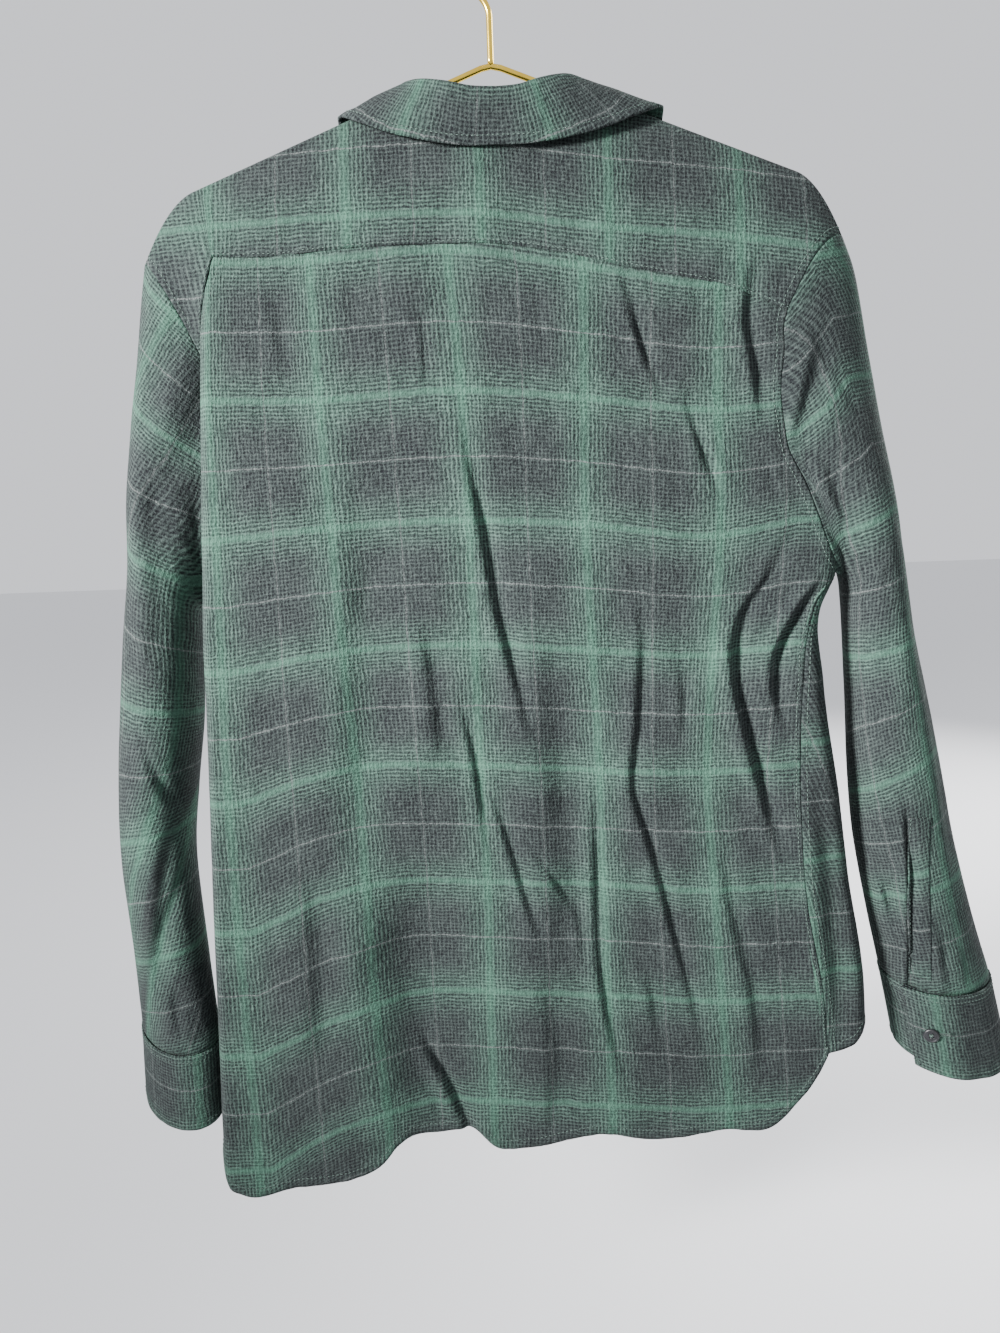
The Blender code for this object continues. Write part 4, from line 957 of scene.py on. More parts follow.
class Value:
    # wraps one socket, so that sums, products and powers of it add Math nodes
    def __init__(self, shop, socket):
        self.shop, self.socket = shop, socket

    def maths(self, operation, other=None, swap=False):
        # one Math node: operation(self, other), or operation(other, self) when swapped
        inputs = [self] if other is None else [other, self] if swap else [self, other]
        return self.shop.node("ShaderNodeMath", {"operation": operation}, inputs)

    def __add__(self, other):
        return self.maths("ADD", other)

    def __sub__(self, other):
        return self.maths("SUBTRACT", other)

    def __rsub__(self, other):
        return self.maths("SUBTRACT", other, swap=True)

    def __mul__(self, other):
        return self.maths("MULTIPLY", other)

    def __pow__(self, other):
        return self.maths("POWER", other)

    __radd__ = __add__
    __rmul__ = __mul__

    def wave(self, times):
        # 0 to 1 and back, as a cosine
        return 0.5 + 0.5 * (self * (2 * math.pi * times)).maths("COSINE")

    def between(self, low, high):
        # smooth step from 0 at low to 1 at high, whichever is the larger
        return self.shop.node("ShaderNodeMapRange", {"interpolation_type": "SMOOTHSTEP"},
                              {"Value": self, "From Min": low, "From Max": high})


class Shop:
    # builds one material's nodes
    def __init__(self, name):
        self.material = bpy.data.materials.new(name)
        self.material.use_nodes = True
        self.tree = self.material.node_tree
        self.surface = self.tree.nodes["Principled BSDF"]

    def node(self, kind, settings=None, inputs=None, out=0):
        # a node with its settings, and its inputs by name or in order, linked or set; gives back one output
        made = self.tree.nodes.new(kind)
        for key, value in (settings or {}).items():
            setattr(made, key, value)
        for key, value in (inputs.items() if isinstance(inputs, dict) else enumerate(inputs or [])):
            if isinstance(value, Value):
                self.tree.links.new(value.socket, made.inputs[key])
            else:
                made.inputs[key].default_value = value
        return Value(self, made.outputs[out])

    def place(self):
        # object coordinates, in metres
        return self.node("ShaderNodeTexCoord", out=3)

    def vector(self, operation, inputs):
        # one Vector Math node
        return self.node("ShaderNodeVectorMath", {"operation": operation}, inputs)

    def mix(self, factor, a, b):
        # a at factor 0, b at factor 1
        a, b = (c if isinstance(c, Value) else (*c, 1.0) for c in (a, b))
        settings = {"data_type": "RGBA", "clamp_factor": True}
        return self.node("ShaderNodeMix", settings, {0: factor, 6: a, 7: b}, 2)

    def noise(self, place, scale, detail=2.0, out=0):
        # soft noise, scale grains to a unit: its value, or its colour with out at 1
        inputs = {"Vector": place, "Scale": scale, "Detail": detail}
        return self.node("ShaderNodeTexNoise", None, inputs, out)

    def bump(self, height, strength, distance):
        # tilts the surface's normal by the slope of height * distance
        inputs = {"Height": height, "Strength": strength, "Distance": distance}
        return self.node("ShaderNodeBump", None, inputs)

    def finish(self, inputs):
        # links or sets the surface's own inputs
        for key, value in inputs.items():
            if isinstance(value, Value):
                self.tree.links.new(value.socket, self.surface.inputs[key])
            else:
                self.surface.inputs[key].default_value = value
        return self.material


flannel = {
    "charcoal": (0.0046, 0.005, 0.0065), "pale": (0.118, 0.131, 0.127), "grey": (0.070, 0.091, 0.084),
    "mint": (0.054, 0.121, 0.087),
    # across and down: threads to a repeat, half width and soft edge of a mint stripe in millimetres, its
    # strength, how the yarn's thick places stretch, and how strong the thin pale line is
    "threads": (31, 33), "stripes": (3.0, 2.1), "edges": (2.6, 1.3), "strong": (0.42, 0.72),
    "stretch": ((80, 11, 1), (11, 80, 1)), "faint": (0.6, 1.0),
    # a stripe's halo is whole up to the first distance and gone at the second, by this power
    "haloFrom": 4.0, "halo": 30.0, "haloPower": 1.25,
    # wandering threads as (grains to a metre, reach in repeats); fuzz and wear as grains to a metre
    "wobbles": ((330.0, 0.011), (85.0, 0.014)), "fuzz": 1000.0, "worn": 34.0, "crepe": 300.0,
    # light of the weave between threads and of a thread, each as (plain, more in the halo); of a full stripe
    "between": (0.07, 0.07), "thread": (0.36, 0.40), "threadPower": 1.2, "full": 0.95,
    # thick and thin places: of a thread, and of a stripe's threads, each as (slope, start)
    "yarn": (3.4, -0.7), "stripeYarn": (1.1, 0.45),
    # green of the halo and of the stripe; the pale line's half width, its soft edge to either side, and its
    # strength from the fuzz as (slope, start, plain)
    "green": (0.5, 0.4), "fine": 0.5, "fineEdge": 0.25, "fineYarn": (1.9, 0.3, 0.05),
    # the lighter thread's share where two cross, then the whole's gain and start, fuzz and wear
    "upper": 0.6, "gain": 1.12, "start": -0.05, "fuzzy": 0.8, "wear": 0.2, "greener": 0.7,
    # relief of weave, fuzz and crepe
    "relief": (0.35, 0.8, 1.3), "bump": (0.8, 0.0011),
}


def makeFlannel():
    # Along each way, d is the distance in millimetres to the nearest mint stripe. Threads repeat light and
    # dark; the light ones are thin and grey halfway between the stripes, and grow green and strong toward
    # them. Each thread has thick and thin places. Where two threads cross, the lighter one shows more.
    f = flannel
    shop = Shop("flannel")
    place = shop.place()
    uv = shop.node("ShaderNodeUVMap", {"uv_map": "check"})
    for scale, reach in f["wobbles"]:
        shake = shop.noise(place, scale, 2.0, out=1)
        shake = shop.vector("SUBTRACT", [shake, (0.5, 0.5, 0.5)])
        uv = shop.vector("ADD", [uv, shop.vector("SCALE", {0: shake, "Scale": reach * 2})])
    fuzz = shop.noise(place, f["fuzz"], 3.0)
    worn = shop.noise(place, f["worn"], 3.0)
    light, green, pale = [], [], []
    for way in (0, 1):
        at = shop.node("ShaderNodeSeparateXYZ", None, [uv], way)
        d = ((at + 0.5).maths("FRACT") - 0.5).maths("ABSOLUTE") * check["across"]
        halo = d.between(f["halo"], f["haloFrom"]) ** f["haloPower"]
        half, edge = f["stripes"][way], f["edges"][way]
        stripe = d.between(half + edge, half - edge)
        yarn = shop.noise(shop.vector("MULTIPLY", [uv, f["stretch"][way]]), 1.0, 2.0)
        thread = at.wave(f["threads"][way]) ** f["threadPower"] * (yarn * f["yarn"][0] + f["yarn"][1])
        woven = f["between"][0] + f["between"][1] * halo + (f["thread"][0] + f["thread"][1] * halo) * thread
        strength = f["strong"][way] * (f["stripeYarn"][1] + f["stripeYarn"][0] * yarn)
        light.append(woven + (f["full"] - woven) * stripe * strength)
        green.append(halo * f["green"][0] + stripe * f["green"][1])
        lineFrom = check["across"] / 2 - f["fine"]
        pale.append(d.between(lineFrom - f["fineEdge"], lineFrom + f["fineEdge"]) * f["faint"][way])
    most = light[0].maths("MAXIMUM", light[1])
    least = light[0].maths("MINIMUM", light[1])
    shown = (most * f["upper"] + least * (1 - f["upper"])) * f["gain"] + f["start"]
    shown = shown + (fuzz - 0.5) * f["fuzzy"] + (worn - 0.5) * f["wear"]
    greenest, both = green[0].maths("MAXIMUM", green[1]), green[0] + green[1]
    ink = shop.mix(greenest * f["greener"] + both * (1 - f["greener"]), f["grey"], f["mint"])
    colour = shop.mix(shown, f["charcoal"], ink)
    slope, start, plain = f["fineYarn"]
    fine = pale[0].maths("MAXIMUM", pale[1]) * (plain + slope * (fuzz - start))
    colour = shop.mix(fine, colour, f["pale"])
    weave, nap, crepe = f["relief"]
    height = (light[0] + light[1]) * weave + fuzz * nap + shop.noise(place, f["crepe"], 2.0) * crepe
    return shop.finish({
        "Base Color": colour, "Roughness": 0.95, "Specular IOR Level": 0.12, "Sheen Weight": 0.02,
        "Sheen Roughness": 0.6, "Normal": shop.bump(height, *f["bump"])})


threadLook = {"dark": (0.035, 0.055, 0.047), "light": (0.085, 0.135, 0.11), "twist": 900.0}


def makeThread():
    # two strands of thread, as slanting waves of dark and light
    shop = Shop("thread")
    twist = shop.node("ShaderNodeTexWave", {"bands_direction": "DIAGONAL"},
                      {"Vector": shop.place(), "Scale": threadLook["twist"], "Distortion": 1.0})
    colour = shop.mix(twist, threadLook["dark"], threadLook["light"])
    return shop.finish({"Base Color": colour, "Roughness": 0.7, "Normal": shop.bump(twist, 0.4, 0.0002)})


buttonLook = {
    "dark": (0.003, 0.0032, 0.004), "cloudy": (0.011, 0.012, 0.014), "cloud": 210.0, "scratch": 1400.0,
    "cloudFrom": 0.35, "cloudTo": 0.7, "rough": (0.28, 0.2),
}


def makeButton():
    # dark resin, a little cloudy, rougher where it is scratched
    shop = Shop("button")
    place = shop.place()
    cloud = shop.noise(place, buttonLook["cloud"], 4.0)
    scratch = shop.noise(place, buttonLook["scratch"], 2.0)
    cloudy = cloud.between(buttonLook["cloudFrom"], buttonLook["cloudTo"])
    colour = shop.mix(cloudy, buttonLook["dark"], buttonLook["cloudy"])
    plain, more = buttonLook["rough"]
    return shop.finish({"Base Color": colour, "Roughness": plain + more * scratch,
                        "Normal": shop.bump(scratch, 0.12, 0.0002)})


goldLook = {"deep": (0.78, 0.51, 0.06), "light": (0.86, 0.62, 0.11), "smear": 75.0, "grain": 1900.0,
            "rough": (0.16, 0.12)}


def makeGold():
    # polished gold-coloured metal, smeared in its colour and roughness
    shop = Shop("gold_wire")
    place = shop.place()
    smear = shop.noise(place, goldLook["smear"], 3.0)
    grain = shop.noise(place, goldLook["grain"], 2.0)
    colour = shop.mix(smear, goldLook["deep"], goldLook["light"])
    plain, more = goldLook["rough"]
    return shop.finish({"Base Color": colour, "Metallic": 1.0, "Roughness": plain + more * smear,
                        "Normal": shop.bump(grain, 0.05, 0.0002)})


flannelMaterial, threadMaterial = makeFlannel(), makeThread()
buttonMaterial, goldMaterial = makeButton(), makeGold()
print("materials made")

# look is how far ahead and back a stitch takes its direction
stitching = {"pitch": 3.3, "length": 2.3, "radius": 0.26, "look": 0.5, "lift": 0.1}


def stitchMesh(name, runs):
    # each stitch is a spindle of ten points lying on the cloth; runs hold points and outward directions
    pitch, length, radius = (stitching[key] for key in ("pitch", "length", "radius"))
    centres, ways, ups = [], [], []
    for points, normals in runs:
        step = np.linalg.norm(np.diff(points, axis=0), axis=1)
        run = np.concatenate([[0], np.cumsum(step)])
        at = np.arange(pitch / 2, run[-1], pitch)
        if len(at) == 0:
            continue
        centre, ahead, behind = (np.column_stack([np.interp(at + off, run, points[:, k]) for k in range(3)])
                                 for off in (0, stitching["look"], -stitching["look"]))
        centres.append(centre)
        ways.append(unit(ahead - behind))
        ups.append(unit(np.column_stack([np.interp(at, run, normals[:, k]) for k in range(3)])))
    centre, way, up = np.concatenate(centres), np.concatenate(ways), np.concatenate(ups)
    across = unit(np.cross(way, up))
    # along in lengths, then across and up in radii: a point sunk into the cloth, two squares, a point
    shape = [(-0.5, 0, -1.2)]
    for end in (-0.3, 0.3):
        shape += [(end, math.cos(a), math.sin(a)) for a in np.radians((0, 90, 180, 270))]
    shape.append((0.5, 0, -1.2))
    shape = np.array(shape)
    points = (centre[:, None] + way[:, None] * shape[None, :, :1] * length
              + across[:, None] * shape[None, :, 1:2] * radius + up[:, None] * shape[None, :, 2:] * radius)
    ring = [(k, (k + 1) % 4) for k in range(4)]
    faces = [(0, 1 + b, 1 + a) for a, b in ring]
    faces += [(1 + a, 1 + b, 5 + b, 5 + a) for a, b in ring]
    faces += [(5 + a, 5 + b, 9) for a, b in ring]
    everyFace = [tuple(base + i for i in face) for base in range(0, len(centre) * 10, 10) for face in faces]
    mesh = bpy.data.meshes.new(name)
    mesh.from_pydata(intoMetres(points).reshape(-1, 3).tolist(), [], everyFace)
    mesh.shade_smooth()
    return mesh


def edgeRun(grid, edge, inset, thick, middle=None):
    # points at a set distance in from an edge, on the cloth's outer face
    far = turned(fromEdge(grid, edge), edge)
    lines, normals = turned(grid, edge), turned(outward(grid, middle), edge)
    points, ups = [], []
    for c in range(lines.shape[1]):
        points.append([np.interp(inset, far[:, c], lines[:, c, k]) for k in range(3)])
        ups.append([np.interp(inset, far[:, c], normals[:, c, k]) for k in range(3)])
    points, ups = np.array(points), unit(np.array(ups))
    return points + ups * (thick / 2 + stitching["lift"]), ups


# columns and rows of each grid
fineness = {"back": (262, 180), "front": (110, 150), "yoke": (220, 66), "sleeve": (160, 220),
            "cuff": (160, 36), "collarSide": 160}


def tubeMiddle(grid):
    # the mean of each ring
    return grid.mean(axis=1, keepdims=True)


def makeBody():
    # back, yoke and fronts: hemmed below, lipped at the yoke's seam, tucked under at the top and sides
    back, backUv = backGrid(*fineness["back"])
    back = hemmed(back, "bottom", hems["tail"], seed=21)
    yoke, yokeUv, ridgeRow = yokeGrid(*fineness["yoke"])
    beneath = yoke * np.array([1, 0, 1]) + np.array([0, 0, yokeCloth["middleBelow"]])
    fronts = [frontGrid(side, *fineness["front"]) for side in (-1, 1)]
    yoke = hemmed(yoke, "top", hems["yokeSeam"], beneath, seed=31)
    grids = {"back": back, "yoke": yoke, "yokeBeneath": beneath}
    backLaid, backLaidUv = tuckedUnder(back, backUv, "top", tucks["back"])
    addCloth("back", "back_panel", backLaid, backLaidUv, cuts["back"], cloth["thick"])
    addCloth("yoke", "yoke", yoke, yokeUv, cuts["yoke"], cloth["thick"])
    for key, (grid, uv) in zip(("left", "right"), fronts):
        grids[key] = grid = hemmed(grid, "bottom", hems["tail"], seed=41)
        for edge in ("top", "left"):
            grid, uv = tuckedUnder(grid, uv, edge, tucks["front"])
        name = "front" + key.capitalize()
        addCloth(name, "front_" + key, grid, uv, cuts[name], cloth["thick"])
    return grids, ridgeRow


def armholes(grids, ridgeRow):
    # each sleeve's line on the body, from the shoulder's top to the underarm, on the back and on the front
    back, yoke = grids["back"], grids["yoke"]
    low = np.array([body["underarm"]])
    underLeft = around(-through(body["backWrap"], 1, low), low)
    underRight = around(backEnd(low), low)
    left = back[:, 0][(back[:, 0, 2] > body["armholeFrom"]) & (back[:, 0, 2] < body["armholeTo"])]
    right = back[:, -1][back[:, -1, 2] < body["armholeTo"]]
    frontEdges = [grids[k][:, 0][grids[k][:, 0, 2] < body["armholeTo"]] for k in ("left", "right")]
    return [(np.concatenate([yoke[ridgeRow::-1, 0], left, underLeft]),
             np.concatenate([yoke[ridgeRow:, 0], frontEdges[0], underLeft])),
            (np.concatenate([yoke[ridgeRow::-1, -1], right, underRight]),
             np.concatenate([yoke[ridgeRow:, -1], frontEdges[1], underRight]))]


def makeSleeve(key, sleeve, lines):
    # a closed tube, tucked under at its head and at the cuff's seam
    grid = sleeveGrid(sleeve, *lines, *fineness["sleeve"])
    uv = sleeveCheck(sleeve, grid)
    laid, laidUv = closedRing(grid), uv
    for edge, tuck in (("top", "sleeveHead"), ("bottom", "sleeveEnd")):
        laid, laidUv = tuckedUnder(laid, laidUv, edge, tucks[tuck], tubeMiddle(laid))
    name = "sleeve" + key.capitalize()
    addCloth(name, "sleeve_" + key, laid[:, :-1], laidUv, cuts[name], cloth["thick"], ring=True)
    return grid, uv


def makeCuff(key, sleeve):
    # the lapped band, hemmed at its free edge and at its seam
    grid, uv = cuffGrid(sleeve, *fineness["cuff"])
    middle = tubeMiddle(grid)
    grid = hemmed(grid, "bottom", hems["cuffEnd"], middle, seed=61)
    grid = hemmed(grid, "top", hems["cuffSeam"], middle, seed=63)
    name = "cuff" + key.capitalize()
    addCloth(name, "cuff_" + key, grid, uv, cuts[name], cuffForm["thick"])
    return grid


def makeCollar():
    # stand and fall; stripes are counted along the fall's free edge and bands from the fold down
    stand, fall, arc = collarGrids(fineness["collarSide"])
    rise = np.linspace(0, collar["standDown"], len(stand))[:, None]
    uv = (arc[None] / check["across"] + 0 * rise, rise / check["down"] + 0 * arc[None])
    addCloth("collarStand", "collar_stand", stand, uv, cuts["collarStand"], cloth["thick"])
    middle = fall * np.array([0, 0, 1]) + collarMiddle()
    below = fromEdge(fall, "top")
    u = np.broadcast_to(countAlong(arc, collar["stripes"], check["across"]), below.shape)
    fall = hemmed(fall, "bottom", hems["collar"], middle, seed=71)
    uv = (u, below / check["down"] + collar["bandFrom"])
    addCloth("collarFall", "collar_fall", fall, uv, cuts["collarFall"], collar["thick"])
    return fall


grids, ridgeRow = makeBody()
sleeves = [makeSleeve(key, sleeve, lines) for key, sleeve, lines
           in zip(("left", "right"), (sleeveLeft, sleeveRight), armholes(grids, ridgeRow))]
cuffs = [makeCuff("left", sleeveLeft), makeCuff("right", sleeveRight)]
collarFall = makeCollar()
print("cloth laid")

plackets = {
    # where each starts down the sleeve, as a share; its outer edge at the top and at the cuff, and its
    # width, in parts of the sleeve's round
    "left": {"from": 14.6 / 19, "edge": (-2.7, -2.7), "wide": 2.2},
    "right": {"from": 15.6 / 20, "edge": (6.2, 8.5), "wide": 1.8},
    "parts": 26, "to": 0.985, "columns": 18, "rows": 90, "off": (1.7, 0.5), "inside": 10,
    "moved": (0.03, 0.16), "thick": 1.1,
}
frontPlacketForm = {
    "half": 17.0, "top": 193.0, "bottom": 866.0, "columns": 22, "rows": 200, "lift": 1.5, "thick": 1.3,
    # where a stripe and a band of its check run
    "stripe": 0.3, "bandDown": 186,
}


def sleevePlacket(key, grid, uv):
    # a strip that follows the sleeve from partway down to just above the cuff
    spec = plackets[key]
    rows, count = grid.shape[0] - 1, grid.shape[1]
    v = np.linspace(0, 1, plackets["rows"])[:, None]
    row = (spec["from"] + (plackets["to"] - spec["from"]) * v) * rows
    edge = spec["edge"][0] + (spec["edge"][1] - spec["edge"][0]) * v
    column = edge - np.linspace(0, spec["wide"], plackets["columns"])[None, :]
    column = (column / plackets["parts"] * count + count // 2) % count
    row = row + 0 * column
    point, normal = onSurface(closedRing(grid), row, column)
    strip = point + normal * np.linspace(*plackets["off"], plackets["columns"])[None, :, None]
    middle = strip - normal * plackets["inside"]
    strip = hemmed(strip, "left", hems["sleevePlacketSide"], middle, seed=91)
    strip = hemmed(strip, "top", hems["sleevePlacketTop"], middle, seed=92)
    under, _ = onSurface(np.stack([uv[0], uv[1], 0 * uv[0]], -1), row, column)
    uv = (under[..., 0] + plackets["moved"][0], under[..., 1] + plackets["moved"][1])
    addCloth("sleevePlacket" + key.capitalize(), "sleeve_placket_" + key, strip, uv, cuts["sleevePlacket"],
             plackets["thick"])
    return strip, middle


def onFront(x, down, lift):
    # a point of the front, lifted off its outer face
    q = backWidth(down) + body["turnRight"] + section("right", down) - body["foldRight"] - x
    point = around(q, down)
    point[..., 1] += lift
    return point


def makeFrontPlacket():
    # a strip down the centre front, hemmed on both sides
    form = frontPlacketForm
    x = np.linspace(-form["half"], form["half"], form["columns"])[None, :] + body["centre"]
    down = np.linspace(form["top"], form["bottom"], form["rows"])[:, None]
    x, down = np.broadcast_arrays(x, down)
    grid = onFront(x, down, form["lift"])
    for edge in ("left", "right"):
        grid = hemmed(grid, edge, hems["frontPlacket"], seed=95)
    uv = (x / check["across"] + form["stripe"], (down - form["bandDown"]) / check["down"])
    addCloth("buttonPlacket", "button_placket", grid, uv, cuts["buttonPlacket"], form["thick"])
    return grid


sleevePlackets = [sleevePlacket(key, *laid) for key, laid in zip(("left", "right"), sleeves)]
frontPlacket = makeFrontPlacket()
print("plackets laid")

# edges of each piece that are stitched, each with the row's distance in
seamRows = {
    "back": (("bottom", 7.0), ("left", 5.0), ("right", 5.0)),
    "yoke": (("top", 2.0), ("left", 5.0), ("right", 5.0)),
    "front": (("bottom", 7.0), ("left", 5.0)),
    "cuff": (("bottom", 4.8), ("top", 1.6), ("top", 5.6), ("right", 2.0)),
    "fall": (("bottom", 5.6),),
    "sleevePlacket": (("left", 1.6),),
    "frontPlacket": (("left", 5.0), ("right", 5.0)),
}


def makeStitches():
    # rows beside the seams and hems, each at its own distance from an edge
    thick = cloth["thick"]
    sewn = [("back", grids["back"], thick, None), ("yoke", grids["yoke"], thick, grids["yokeBeneath"])]
    sewn += [("front", grids[key], thick, None) for key in ("left", "right")]
    sewn += [("cuff", grid, cuffForm["thick"], tubeMiddle(grid)) for grid in cuffs]
    sewn.append(("fall", collarFall, collar["thick"], collarFall * np.array([0, 0, 1]) + collarMiddle()))
    sewn += [("sleevePlacket", grid, plackets["thick"], middle) for grid, middle in sleevePlackets]
    sewn.append(("frontPlacket", frontPlacket, frontPlacketForm["thick"], None))
    runs = [edgeRun(grid, edge, inset, high, middle) for key, grid, high, middle in sewn
            for edge, inset in seamRows[key]]
    mesh = stitchMesh("stitches", runs)
    addPiece("stitches", mesh, threadMaterial)
    print("stitches", len(mesh.polygons), "faces")


makeStitches()

button = {
    "radius": 5.7, "thick": 2.4, "rim": 1.15, "dish": 0.55, "holes": 4, "holeAt": 1.62, "holeRadius": 0.465,
    "holeSoft": 0.4, "deep": 1.3, "sides": 72,
    # the rim's roundness; rings from the rim to the middle, and how far inside the rim the dish starts
    "round": 0.7, "roundSteps": 7, "roundFrom": 1.2, "roundHigh": 0.8, "dishRings": 26, "dishIn": 0.5,
    # the back's flat part, and the smallest rings
    "backFlat": 0.6, "middle": 0.02, "least": 0.004,
}


def revolved(profile, count):
    # rings of a turned shape about the third axis, from (radius, height) pairs
    angles = np.linspace(0, 2 * math.pi, count, endpoint=False)
    radius, height = np.array(profile, float).T
    return np.stack([radius[:, None] * np.cos(angles), radius[:, None] * np.sin(angles),
                     height[:, None] + 0 * angles], -1)


def buttonMesh(name, place, facing, upright):
    # a dished disc with a rounded rim: rings from the back's middle, round the rim, to the front's middle,
    # where four smooth wells stand for the thread holes
    r, half, soft = button["radius"], button["thick"] / 2, button["round"]
    profile = [(button["middle"], -half), (r * button["backFlat"], -half), (r - soft, -half)]
    profile += [(r - soft + soft * math.cos(a), math.sin(a) * half * button["roundHigh"])
                for a in np.linspace(-button["roundFrom"], button["roundFrom"], button["roundSteps"])]
    profile += [(r - soft, half), (r - button["rim"], half)]
    inner = r - button["rim"] - button["dishIn"]
    profile += [(inner * t, half - button["dish"])
                for t in np.linspace(1, button["least"], button["dishRings"])]
    grid = revolved(profile, button["sides"])
    flat = grid[-button["dishRings"]:]
    for k in range(button["holes"]):
        a = (k + 0.5) * 2 * math.pi / button["holes"]
        away = np.hypot(flat[..., 0] - button["holeAt"] * math.cos(a),
                        flat[..., 1] - button["holeAt"] * math.sin(a))
        flat[..., 2] -= button["deep"] * (1 - ease((away - button["holeRadius"]) / button["holeSoft"]))
    across = unit(np.cross(upright, facing))
    up = np.cross(facing, across)
    points = place + grid[..., :1] * across + grid[..., 1:2] * up + grid[..., 2:] * facing
    rings, count = grid.shape[:2]
    c = np.arange(count)
    d = (c + 1) % count
    faces = [(k * count + a, k * count + b, (k + 1) * count + b, (k + 1) * count + a)
             for k in range(rings - 1) for a, b in zip(c, d)]
    faces += [tuple(int(i) for i in c[::-1]), tuple(int(i) for i in (rings - 1) * count + c)]
    mesh = bpy.data.meshes.new(name)
    mesh.from_pydata(intoMetres(points).reshape(-1, 3).tolist(), [], faces)
    mesh.shade_smooth()
    return mesh


buttonThread = {"radius": 0.2, "apart": 0.22, "high": 0.25, "down": 1.0, "bend": 5, "steps": 9, "sides": 6}


def threadRuns(place, facing, upright):
    # two crossing strands over the middle of the button, which dive into its holes as a fifth power
    form = buttonThread
    across = unit(np.cross(upright, facing))
    up = np.cross(facing, across)
    t = np.linspace(-1, 1, form["steps"])
    height = button["thick"] / 2 - button["dish"] + form["high"] - form["down"] * np.abs(t) ** form["bend"]
    runs = []
    for turn in (math.pi / 4, 3 * math.pi / 4):
        way = math.cos(turn) * across + math.sin(turn) * up
        aside = math.cos(turn) * up - math.sin(turn) * across
        strand = place + way * (t * button["holeAt"])[:, None] + facing * height[:, None]
        runs += [strand + aside * side for side in (-form["apart"], form["apart"])]
    return runs


def tubeMesh(runs, radius, sides, name, closed=False):
    # a round tube along each run, ended by a cap, or joined to its own start; its first side is turned along
    # with the run, so that the tube doesn't twist
    points, faces, base = [], [], 0
    angles = np.linspace(0, 2 * math.pi, sides, endpoint=False)
    circle = np.cos(angles)[:, None], np.sin(angles)[:, None]
    for run in runs:
        ahead = np.roll(run, -1, axis=0) - np.roll(run, 1, axis=0) if closed else np.gradient(run, axis=0)
        ahead = unit(ahead)
        side = np.zeros_like(run)
        guess = np.array([0.0, 1.0, 0.0]) if abs(ahead[0][1]) < 0.9 else np.array([0.0, 0.0, 1.0])
        for k, way in enumerate(ahead):
            guess = guess - way * np.dot(guess, way)
            guess = guess / np.linalg.norm(guess)
            side[k] = guess
        other = np.cross(ahead, side)
        ring = run[:, None] + radius * (circle[0] * side[:, None] + circle[1] * other[:, None])
        count = len(run)
        for k in range(count if closed else count - 1):
            here, there = base + k * sides, base + (k + 1) % count * sides
            faces += [(here + a, here + (a + 1) % sides, there + (a + 1) % sides, there + a)
                      for a in range(sides)]
        if not closed:
            faces.append(tuple(base + a for a in range(sides))[::-1])
            faces.append(tuple(base + (count - 1) * sides + a for a in range(sides)))
        points.append(ring.reshape(-1, 3))
        base += count * sides
    mesh = bpy.data.meshes.new(name)
    mesh.from_pydata(intoMetres(np.concatenate(points)).tolist(), [], faces)
    mesh.shade_smooth()
    return mesh


hole = {
    # half length of the slit; its stitches' inner and outer ends, their steps and thread
    "half": 7.2, "slot": 0.35, "wide": 1.35, "pitch": 0.5, "radius": 0.2, "sides": 6,
    # height of the inner ends and how much higher the outer ones are; the stitches across each end
    "high": 0.2, "higher": 0.15, "ends": 12, "endReach": 0.4,
    # how far beyond the button's middle the slit starts; how far the cloth lies behind the button
    "beyond": 1.5, "behind": 0.15,
}


def holeRuns(place, facing, along):
    # two rows of close stitches on either side of a slit, as zigzags, joined by a few across each end
    across = np.cross(facing, along)
    steps = np.arange(-hole["half"], hole["half"], hole["pitch"] / 2)
    runs = []
    for side in (-1, 1):
        outer = np.arange(len(steps)) % 2
        reach = np.where(outer == 0, hole["slot"], hole["wide"]) * side
        rise = hole["high"] + hole["higher"] * outer
        runs.append(place + along * steps[:, None] + across * reach[:, None] + facing * rise[:, None])
    for end in (-hole["half"], hole["half"]):
        reach = np.linspace(-hole["wide"], hole["wide"], hole["ends"])
        zigzag = end + hole["endReach"] * (-1.0) ** np.arange(hole["ends"])
        rise = hole["high"] + hole["higher"]
        runs.append(place + along * zigzag[:, None] + across * reach[:, None] + facing * rise)
    return runs


# down the front: how many, where the first is, the step; how far each stands off the front's outer face
frontButtons = {"count": 7, "first": 222.0, "step": 88.0, "off": 2.2, "collar": (3.0, 21.5, 176.0)}


def buttonPlaces():
    # the node's name, the middle, and the ways it faces and stands, of each button
    forward, upward = np.array([0.0, 1.0, 0.0]), np.array([0.0, 0.0, -1.0])
    places = []
    for k in range(frontButtons["count"]):
        down = np.array([frontButtons["first"] + frontButtons["step"] * k])
        place = onFront(body["centre"] + 0 * down, down, 0)[0]
        place[1] += frontButtons["off"] + button["thick"] / 2
        places.append(("button_front_%d" % (k + 1), place, forward, upward))
    places.append(("button_collar", np.array(frontButtons["collar"]), forward, upward))
    for key, grid in zip(("left", "right"), cuffs):
        row, column = (grid.shape[0] - 1) * 0.5, (grid.shape[1] - 1) * cuffForm["buttonAt"]
        point, facing = onSurface(grid, np.array([row]), np.array([column]))
        up = unit(grid[0, int(column)] - grid[-1, int(column)])
        place = point[0] + facing[0] * (cuffForm["buttonOff"] + button["thick"] / 2)
        places.append(("button_cuff_" + key, place, facing[0], up))
    return places


